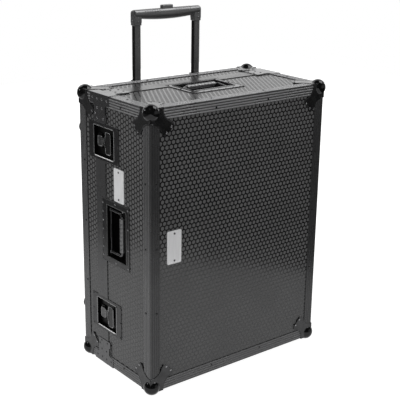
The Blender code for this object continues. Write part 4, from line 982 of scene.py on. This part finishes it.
def silver_plates():
    """Two bare brushed plates, each held by a screw at its top and bottom."""
    half_width, half_height = 0.0235, 0.0470
    for name, face, *centre in (("front", "front", LEFT + 0.079, BOTTOM + 0.415),
                                ("side", "left", FRONT + 0.1455, BOTTOM + 0.5625)):
        outline = rounded(half_width, half_height, 0.004, 5, centre)
        line = rounded(half_width - 0.0035, half_height - 0.0035, 0.0028, 5, centre)
        build(f"plate_{name}", "lid", "silver", (add_plate, face, outline, -0.0016, 0.0006, 0.0005),
              (add_bead, face, line, 0.0003, 0.0006))
        screws = [(add_screw, on_face(face, centre[0], centre[1] + up * (half_height - 0.0085), 0.0006),
                   FACES[face][3], 0.0032, 0.0012) for up in (-1, 1)]
        build(f"plate_{name}_screws", "lid", "rivet", *screws)


# Trolley handle
TUBE_X = 0.107
TUBE_Y = (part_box("trolley_tube_left")[0].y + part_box("trolley_tube_left")[1].y) / 2
GRIP_LOW, GRIP_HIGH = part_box("trolley_grip")
GRIP_TOP = GRIP_HIGH.z
GRIP_END_HEIGHT = 0.023
GRIP_MIDDLE_HEIGHT = 0.032
GRIP_DEPTH = 0.024
GRIP_SQUARENESS = 2.15
GRIP_END_ROUND = 0.006
GRIP_END_TRIM = 0.0045
SHADE_STRIP_INSET = 0.0012
SOCKET_HALF_X = 0.0122
SOCKET_HALF_Y = 0.0102
SOCKET_COLLAR = 0.0006
GRIP_REACH = TUBE_X + SOCKET_HALF_X + 0.0014
SCREW_X = (-0.080, -0.030, 0.030, 0.080)


def grip_ring(x, low, half_depth, top=GRIP_TOP):
    """One rounded cross-section of the trolley's grip."""
    middle, half = (low + top) / 2, (top - low) / 2
    ring = []
    for across, up in turns(28):
        swell = (abs(across) ** GRIP_SQUARENESS + abs(up) ** GRIP_SQUARENESS) ** (-1 / GRIP_SQUARENESS)
        ring.append((x, TUBE_Y + half_depth * across * swell, middle + half * up * swell))
    return ring


def trolley_grip():
    """The grip with its sockets, ribs and screws."""
    rings = []
    for step in range(41):
        x = GRIP_REACH * math.sin((step / 20 - 1) * math.pi / 2)
        ease = min(1.0, (GRIP_REACH - abs(x)) / GRIP_END_ROUND)
        trim = GRIP_END_TRIM * (1 - math.sqrt(max(0.0, 1 - (1 - ease) ** 2)))
        bow = (GRIP_MIDDLE_HEIGHT - GRIP_END_HEIGHT) * (1 - (x / GRIP_REACH) ** 2)
        rings.append(grip_ring(x, GRIP_TOP - GRIP_END_HEIGHT - bow + trim, GRIP_DEPTH / 2 - trim,
                               GRIP_TOP - trim))
    steps = [(add_skin, rings)]
    ribs, screws = [], []
    for sign in (-1, 1):
        x = sign * TUBE_X
        for wider, low, high, bevel in ((0.0, GRIP_LOW.z, GRIP_TOP - 0.010, 0.0018),
                                        (SOCKET_COLLAR, GRIP_LOW.z + 0.007, GRIP_TOP - 0.012, 0.0020)):
            half_x, half_y = SOCKET_HALF_X + wider, SOCKET_HALF_Y + wider
            steps.append((add_block, (x - half_x, TUBE_Y - half_y, low), (x + half_x, TUBE_Y + half_y, high),
                          bevel, 3))
        for step in range(7):
            rib_x = sign * (0.030 + step * 0.0085)
            low = GRIP_TOP - GRIP_END_HEIGHT - 0.007 * (1 - (rib_x / GRIP_REACH) ** 2)
            ribs.append((add_rod, grip_ring(rib_x, low, GRIP_DEPTH / 2), 0.0004, 6, True))
        for up in (0.0125, 0.0225):
            for way in (-1, 1):
                point = (x, TUBE_Y + way * SOCKET_HALF_Y, GRIP_LOW.z + up)
                screws.append((add_screw, point, (0, way, 0), 0.0024, 0.0009))
        point = (sign * (TUBE_X + SOCKET_HALF_X), TUBE_Y, GRIP_LOW.z + 0.014)
        screws.append((add_screw, point, (sign, 0, 0), 0.0024, 0.0009))
    build("trolley_grip_body", "trolley", "grip_satin", *steps, smooth=45, replaces=("trolley_grip",))
    # Each tube's two side faces get a thin near-black sheet, 0.2 mm proud: painted shade on the tubes' sides
    for side in SIDES:
        low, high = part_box(f"trolley_tube_{side}")
        strips = []
        for edge, way in ((low.x, -1), (high.x, 1)):
            strips.append((add_block, (edge - way * 0.0010, low.y + SHADE_STRIP_INSET, low.z + SHADE_STRIP_INSET),
                           (edge + way * 0.0002, high.y - SHADE_STRIP_INSET, GRIP_LOW.z - 0.001), 0.0001))
        build(f"trolley_tube_{side}_painted_shade_strips", "trolley", "tube_groove", *strips)
    build("trolley_grip_ribs", "trolley", "grip_satin", *ribs, smooth=50)
    build("trolley_grip_screws", "trolley", "rivet", *screws)


def trolley_details():
    """The button with its ridges, and the guide's screws."""
    low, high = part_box("trolley_button")
    half_x, half_y = (high.x - low.x) / 2, (high.y - low.y) / 2
    levels = ((low.z, 0.0), (high.z - 0.0030, 0.0), (high.z - 0.0016, 0.0003), (high.z - 0.0005, 0.0012),
              (high.z, 0.0028))
    rings = [[(x, y, height) for x, y in
              rounded(half_x - inset, half_y - inset, 0.0034 - inset / 2, 6, (0.0, TUBE_Y))]
             for height, inset in levels]
    ridges = [(add_block, (x - 0.0007, TUBE_Y - 0.0036, high.z - 0.0006),
               (x + 0.0007, TUBE_Y + 0.0036, high.z + 0.0003), 0.0003)
              for x in [index * 0.0034 for index in range(-3, 4)]]
    build("trolley_button_cap", "trolley_button", "grip_satin", (add_skin, rings), *ridges,
          replaces=("trolley_button",))

    softened("trolley_guide", 0.0007, "black_plastic")
    guide_low, guide_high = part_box("trolley_guide")
    screws = [(add_screw, (x, TUBE_Y, z + 0.015), (0, 1, 0), 0.0042, 0.0018)
              for z in (guide_low.z + 0.030, TOP - ANGLE_LEG - GAP - 0.030) for x in SCREW_X]
    screws += [(add_screw, (x, guide_high.y, guide_high.z - 0.012), (0, 1, 0), 0.0028, 0.0012)
               for x in (-TUBE_X, TUBE_X)]
    build("trolley_guide_screws", "base", "rivet", *screws)


FOOT_SINK = 0.0120


def foot(name):
    """A turned rubber foot with its screw."""
    low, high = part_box(name)
    x, z = (low.x + high.x) / 2, (low.z + high.z) / 2
    tall = high.y - BACK
    wide = (high.x - low.x) / 2
    stations = [(GAP + place, wide - cut) for place, cut in
                ((0.0, 0.002), (0.0006, 0.0005), (0.002, 0.0), (0.0045, 0.0002), (0.0055, 0.0014))]
    stations += [(tall - place, radius) for place, radius in
                 ((0.0050, 0.0198), (0.0022, 0.0190), (0.0007, 0.0178), (0.0, 0.0162), (0.0, 0.0092),
                  (0.0008, 0.0084), (FOOT_SINK, 0.0078), (FOOT_SINK, 0.0010))]
    build(f"{name}_rubber", "base", "rubber", (add_lathe, (x, BACK, z), (0, 1, 0), stations, 48),
          replaces=(name,))
    bottom = BACK + tall - FOOT_SINK
    washer = ((SEAT, 0.0070), (0.0008, 0.0070), (0.0010, 0.0066), (0.0010, 0.001))
    build(f"{name}_screw", "base", "rivet", (add_lathe, (x, bottom, z), (0, 1, 0), washer, 28),
          (add_screw, (x, bottom + 0.001, z), (0, 1, 0), 0.0048, 0.0022))


def wheel(side):
    """A wheel's tyre and hub, and its well with screws."""
    name = f"wheel_{side}"
    low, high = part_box(name)
    centre = (low + high) / 2
    half, _half_y, radius = (high - low) / 2
    stations = [(-half + place, size) for place, size in
                ((0.0012, 0.0150), (0.0, 0.0158), (0.0, radius - 0.0045), (0.0008, radius - 0.0022),
                 (0.0026, radius - 0.0006), (0.0044, radius))]
    stations += [(-0.0036, radius), (-0.0031, radius - 0.0008), (-0.0021, radius - 0.0008),
                 (-0.0016, radius)]
    build(f"{name}_tyre", name, "rubber",
          (add_lathe, centre, (1, 0, 0), [*stations, *opposite(stations)], 48), replaces=(name,))
    stations = [(half + place, size) for place, size in
                ((-0.0060, 0.0152), (-0.0016, 0.0152), (-0.0010, 0.0146), (-0.0010, 0.0128),
                 (-0.0024, 0.0118), (-0.0024, 0.0060), (0.0002, 0.0054), (0.0002, 0.0046),
                 (-0.0040, 0.0046))]
    hub = []
    for way in (-1, 1):
        hub.append((add_lathe, centre, (way, 0, 0), stations, 36))
        for y, z in turns(5):
            spot = centre + Vector((way * (half - 0.0024), 0.0089 * y, 0.0089 * z))
            hub.append((add_rivet, spot, (way, 0, 0), 0.0022, 0.0010))
    build(f"{name}_hub", name, "black_plastic", *hub, smooth=35)
    well = f"wheel_well_{side}"
    softened(well, 0.0006, "black_plastic")
    low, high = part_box(well)
    screws = []
    for x in (low.x + 0.005, high.x - 0.005):
        for face, place in (("back", BOTTOM + 0.024), ("back", high.z - 0.005), ("bottom", BACK - 0.024)):
            screws.append((add_screw, on_face(face, x, place), FACES[face][3], 0.0030, 0.0012))
    build(f"{well}_screws", "base", "rivet", *screws)


# Foam linings
FOAM_THICK = 0.020
FOAM_CROWN = 0.0016
FOAM_ROUND = 0.0045
FOAM_CELL = 0.022
FOAM_GAP = 0.0004


def foam_point(index, counts, low, high, crowned):
    """A place on a foam slab's surface, drawn in near the edges and swollen on the crowned side."""
    share = [c / n for c, n in zip(index, counts)]
    point = [a + (b - a) * s for a, b, s in zip(low, high, share)]
    to_edge = [min(p - a, b - p) for p, a, b in zip(point, low, high)]
    for own in range(3):
        near = min(to_edge[own - 1], to_edge[own - 2])
        if index[own] in (0, counts[own]) and near < FOAM_ROUND:
            step = FOAM_ROUND * 0.30 * (1 - near / FOAM_ROUND)
            point[own] += step if index[own] == 0 else -step
    axis, towards = crowned
    if index[axis] == (counts[axis] if towards > 0 else 0):
        swell = towards * FOAM_CROWN
        for other in (axis - 1, axis - 2):
            swell *= math.sin(math.pi * min(0.5, 5 * min(share[other], 1 - share[other])))
        point[axis] += swell
    return point


def foam_slab(name, low, high, body, crowned, notches=(), replaces=()):
    """A soft slab of foam with round edges, crowned a little on its open face."""
    shape = bmesh.new()
    counts = [max(2, round((b - a) / FOAM_CELL)) for a, b in zip(low, high)]
    grid = {}
    for own in range(3):
        first, second = [other for other in range(3) if other != own]
        for level in (0, counts[own]):
            for i in range(counts[first]):
                for j in range(counts[second]):
                    corners = []
                    for a, b in ((i, j), (i + 1, j), (i + 1, j + 1), (i, j + 1)):
                        index = [a, b]
                        index.insert(own, level)
                        if tuple(index) not in grid:
                            place = foam_point(index, counts, low, high, crowned)
                            grid[tuple(index)] = shape.verts.new(place)
                        corners.append(grid[tuple(index)])
                    shape.faces.new(corners)
    sharp = [edge for edge in shape.edges if edge.calc_face_angle(0.0) > math.radians(50)]
    bmesh.ops.bevel(shape, geom=sharp, offset=FOAM_ROUND * 0.6, segments=3, profile=0.5, affect="EDGES")
    mesh = settled(shape)
    if notches:
        mesh = combined("DIFFERENCE", mesh, [block(*notch) for notch in notches])
    made = piece(name, mesh, body, "foam", 60, replaces)
    return made


def foam_notches(half):
    """The slabs of a half that are cut out, and the corners of each cut: handle recesses or wheel wells."""
    if half == "lid":
        wide = RECESS_HALF + RECESS_WALL
        return ("left", "top"), [(handle_point(handle, -0.02, handle["recess"][0] - RECESS_WALL, -wide),
                                  handle_point(handle, RECESS_DEPTH + RECESS_WALL,
                                               handle["recess"][1] + RECESS_WALL, wide))
                                 for handle in HANDLES.values()]
    wells = [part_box(f"wheel_well_{side}") for side in SIDES]
    return ("floor", "bottom"), [(low - Vector((0.001, 0.001, 0.02)), high + Vector((0.001, 0.02, 0.001)))
                                 for low, high in wells]


def foam_linings():
    """Five glued foam slabs in the lid and five in the base."""
    for half, (_face, inward) in HALVES.items():
        low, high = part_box(f"{half}_foam")
        deep, rim = (low.y, high.y) if inward > 0 else (high.y, low.y)
        floor_top = deep + inward * FOAM_THICK
        floor_low, floor_high = sorted((deep, floor_top))
        wall_low, wall_high = sorted((floor_top + inward * FOAM_GAP, rim))
        inner = high.x - FOAM_THICK
        between = inner - FOAM_GAP
        notched, notches = foam_notches(half)
        for name, start, end, crowned in (
                ("floor", (low.x, floor_low, low.z), (high.x, floor_high, high.z), (1, inward)),
                ("left", (low.x, wall_low, low.z), (-inner, wall_high, high.z), (0, 1)),
                ("right", (inner, wall_low, low.z), (high.x, wall_high, high.z), (0, -1)),
                ("bottom", (-between, wall_low, low.z), (between, wall_high, low.z + FOAM_THICK), (2, 1)),
                ("top", (-between, wall_low, high.z - FOAM_THICK), (between, wall_high, high.z), (2, -1))):
            foam_slab(f"{half}_foam_{name}", start, end, half, crowned,
                      notches if name in notched else (), (f"{half}_foam",) if name == "floor" else ())


angle_ribs()
angle_rivets()
ball_corners()
braces()
for latch_side in SIDES:
    for latch_level, latch_middle in LATCHES.items():
        latch(f"latch_{latch_side}_{latch_level}", latch_side, latch_middle)
for handle_name, handle_sizes in HANDLES.items():
    handle_details(handle_name, handle_sizes)
silver_plates()
trolley_grip()
trolley_details()
for foot_end, _up, foot_side, _across in CORNERS:
    foot(f"foot_{foot_end}_{foot_side}")
for wheel_side in SIDES:
    wheel(wheel_side)
foam_linings()

# Camera, from the photograph
CAMERA_PLACE = (-1.650, -2.0765, 1.3307)
CAMERA_YAW, CAMERA_PITCH, CAMERA_ROLL = (math.radians(angle) for angle in (38.44, 18.03, -0.80))
CAMERA_LENS = 85.32

# Paper, studio and dome round the case, most of them only for reflections
FLOOR_SIZE = 8.0
FLOOR_GLOW = 0.90
PAPER_LEFT = -1.20
PAPER_RIGHT = 0.893
PAPER_GLOSS = 0.90
STUDIO_LEFT = 0.22
STUDIO_RIGHT = 0.03
STUDIO_GLOSS = 0.03
BACKDROP = 1.15
SIDE_WALL = 0.5
DOME_LOW = 0.35
DOME_HIGH = 2.2
# Each lamp: name, place, aim, size, power, and what it shows in
LAMPS = (
    ("rim_left", (-2.0, 1.55, 1.75), (-0.3, 0, 0.8), 0.30, 4.5, "glossy"),
    ("rim_right", (2.26, 0.05, 1.25), (-0.1, 0, 0.8), 0.22, 2.4, "glossy"),
    ("over_left", (-0.6, 2.6, 3.1), (-0.3, 0, 0.8), 1.6, 15, "glossy"),
    ("over_front", (1.9, -0.75, 3.6), (0, 0, 0.8), 2.0, 60, "glossy"),
    ("back_light", (1.2, 3.4, 3.2), (0, 0, 0.5), 1.8, 60, "diffuse"),
)


def paper_floor():
    """White paper that runs away from the camera on a darker studio floor, white itself to the camera."""
    finish = Finish("paper_floor")
    finish.tree.nodes.remove(finish.shader)
    output = next(node for node in finish.tree.nodes if node.type == "OUTPUT_MATERIAL")
    x, y, _z = finish.axes(finish.place)
    across = finish.math("SUBTRACT", finish.math("MULTIPLY", x, math.cos(CAMERA_YAW)),
                         finish.math("MULTIPLY", y, math.sin(CAMERA_YAW)))
    to_right = finish.ranged(across, PAPER_RIGHT - 0.02, PAPER_RIGHT + 0.02, 1.0, STUDIO_RIGHT)
    to_left = finish.ranged(across, PAPER_LEFT - 0.02, PAPER_LEFT + 0.02, STUDIO_LEFT, 1.0)
    rays = finish.add("LightPath").outputs
    paper = finish.tinted(finish.spread(finish.noise(60.0, 3.0)), grey(0.60), grey(0.62))
    seen = finish.tinted(rays["Is Camera Ray"], paper, grey(0.30))
    diffuse = finish.add("BsdfDiffuse", (finish.tinted(rays["Is Glossy Ray"], seen, grey(0.0)),))
    reflected = finish.math("MULTIPLY", finish.math("MULTIPLY", to_left, to_right), PAPER_GLOSS)
    shown = finish.math("MULTIPLY", rays["Is Camera Ray"], FLOOR_GLOW)
    glow = finish.add("Emission", {"Color": grey(1.0), "Strength": finish.math(
        "MULTIPLY_ADD", rays["Is Glossy Ray"], reflected, shown)})
    both = finish.add("AddShader", (diffuse.outputs[0], glow.outputs[0]))
    finish.feed(output.inputs["Surface"], both.outputs[0])
    return finish.material


def studio_world():
    """A plain soft dome, white to the camera, with a white backdrop and a darker studio in reflections."""
    world = bpy.data.worlds.new("studio")
    world.use_nodes = True
    nodes = Nodes(world.node_tree)
    rays = nodes.add("LightPath").outputs
    place = nodes.add("TexCoord").outputs["Generated"]

    def towards(heading, *levels):
        """Brightness that grows towards a heading."""
        share = nodes.add("VectorMath", (place, Vector(heading).normalized()), operation="DOT_PRODUCT")
        return nodes.ranged(share.outputs["Value"], *levels, smooth=True)

    sine, cosine = math.sin(CAMERA_YAW), math.cos(CAMERA_YAW)
    backdrop = towards((sine, cosine, 0), 0.42, 0.66, STUDIO_GLOSS, BACKDROP)
    side_wall = towards((sine, -cosine, 0), 0.80, 0.97, 0.0, SIDE_WALL)
    dome = towards((-0.85, -0.25, 0.45), -0.4, 1.0, DOME_LOW, DOME_HIGH)
    lit = nodes.blend(rays["Is Glossy Ray"], nodes.math("ADD", backdrop, side_wall), dome)
    background = world.node_tree.nodes["Background"]
    nodes.feed(background.inputs["Color"], grey(1.0))
    nodes.feed(background.inputs["Strength"], nodes.blend(rays["Is Camera Ray"], 1.0, lit))
    bpy.context.scene.world = world


def soft_lamp(name, place, aim, size, power, shows_in):
    """A square soft light aimed at a point, for glossy faces or for the rest."""
    lamp = bpy.data.lights.new(name, "AREA")
    lamp.shape = "SQUARE"
    lamp.size = size
    lamp.energy = power
    holder = placed(name, lamp)
    holder.location = place
    holder.visible_glossy = shows_in == "glossy"
    holder.visible_diffuse = shows_in == "diffuse"
    holder.rotation_mode = "QUATERNION"
    holder.rotation_quaternion = (Vector(aim) - Vector(place)).to_track_quat("-Z", "Y")


def photograph_camera():
    """The camera at the photograph's place and angle."""
    data = bpy.data.cameras.new("photograph_camera")
    data.sensor_width = 36
    data.lens = CAMERA_LENS
    camera = placed("photograph_camera", data)
    view = Matrix.Translation(CAMERA_PLACE)
    for angle, axis in ((-CAMERA_YAW, "Z"), (math.pi / 2 - CAMERA_PITCH, "X"), (-CAMERA_ROLL, "Z")):
        view = view @ Matrix.Rotation(angle, 4, axis)
    camera.matrix_world = view
    bpy.context.scene.camera = camera


floor_shape = bmesh.new()
bmesh.ops.create_grid(floor_shape, x_segments=8, y_segments=8, size=FLOOR_SIZE / 2)
floor_mesh = bpy.data.meshes.new("floor")
floor_shape.to_mesh(floor_mesh)
floor_shape.free()
floor_mesh.materials.append(paper_floor())
floor = placed("floor", floor_mesh)
studio_world()
for lamp_values in LAMPS:
    soft_lamp(*lamp_values)
photograph_camera()
bpy.context.scene.view_settings.view_transform = "Standard"
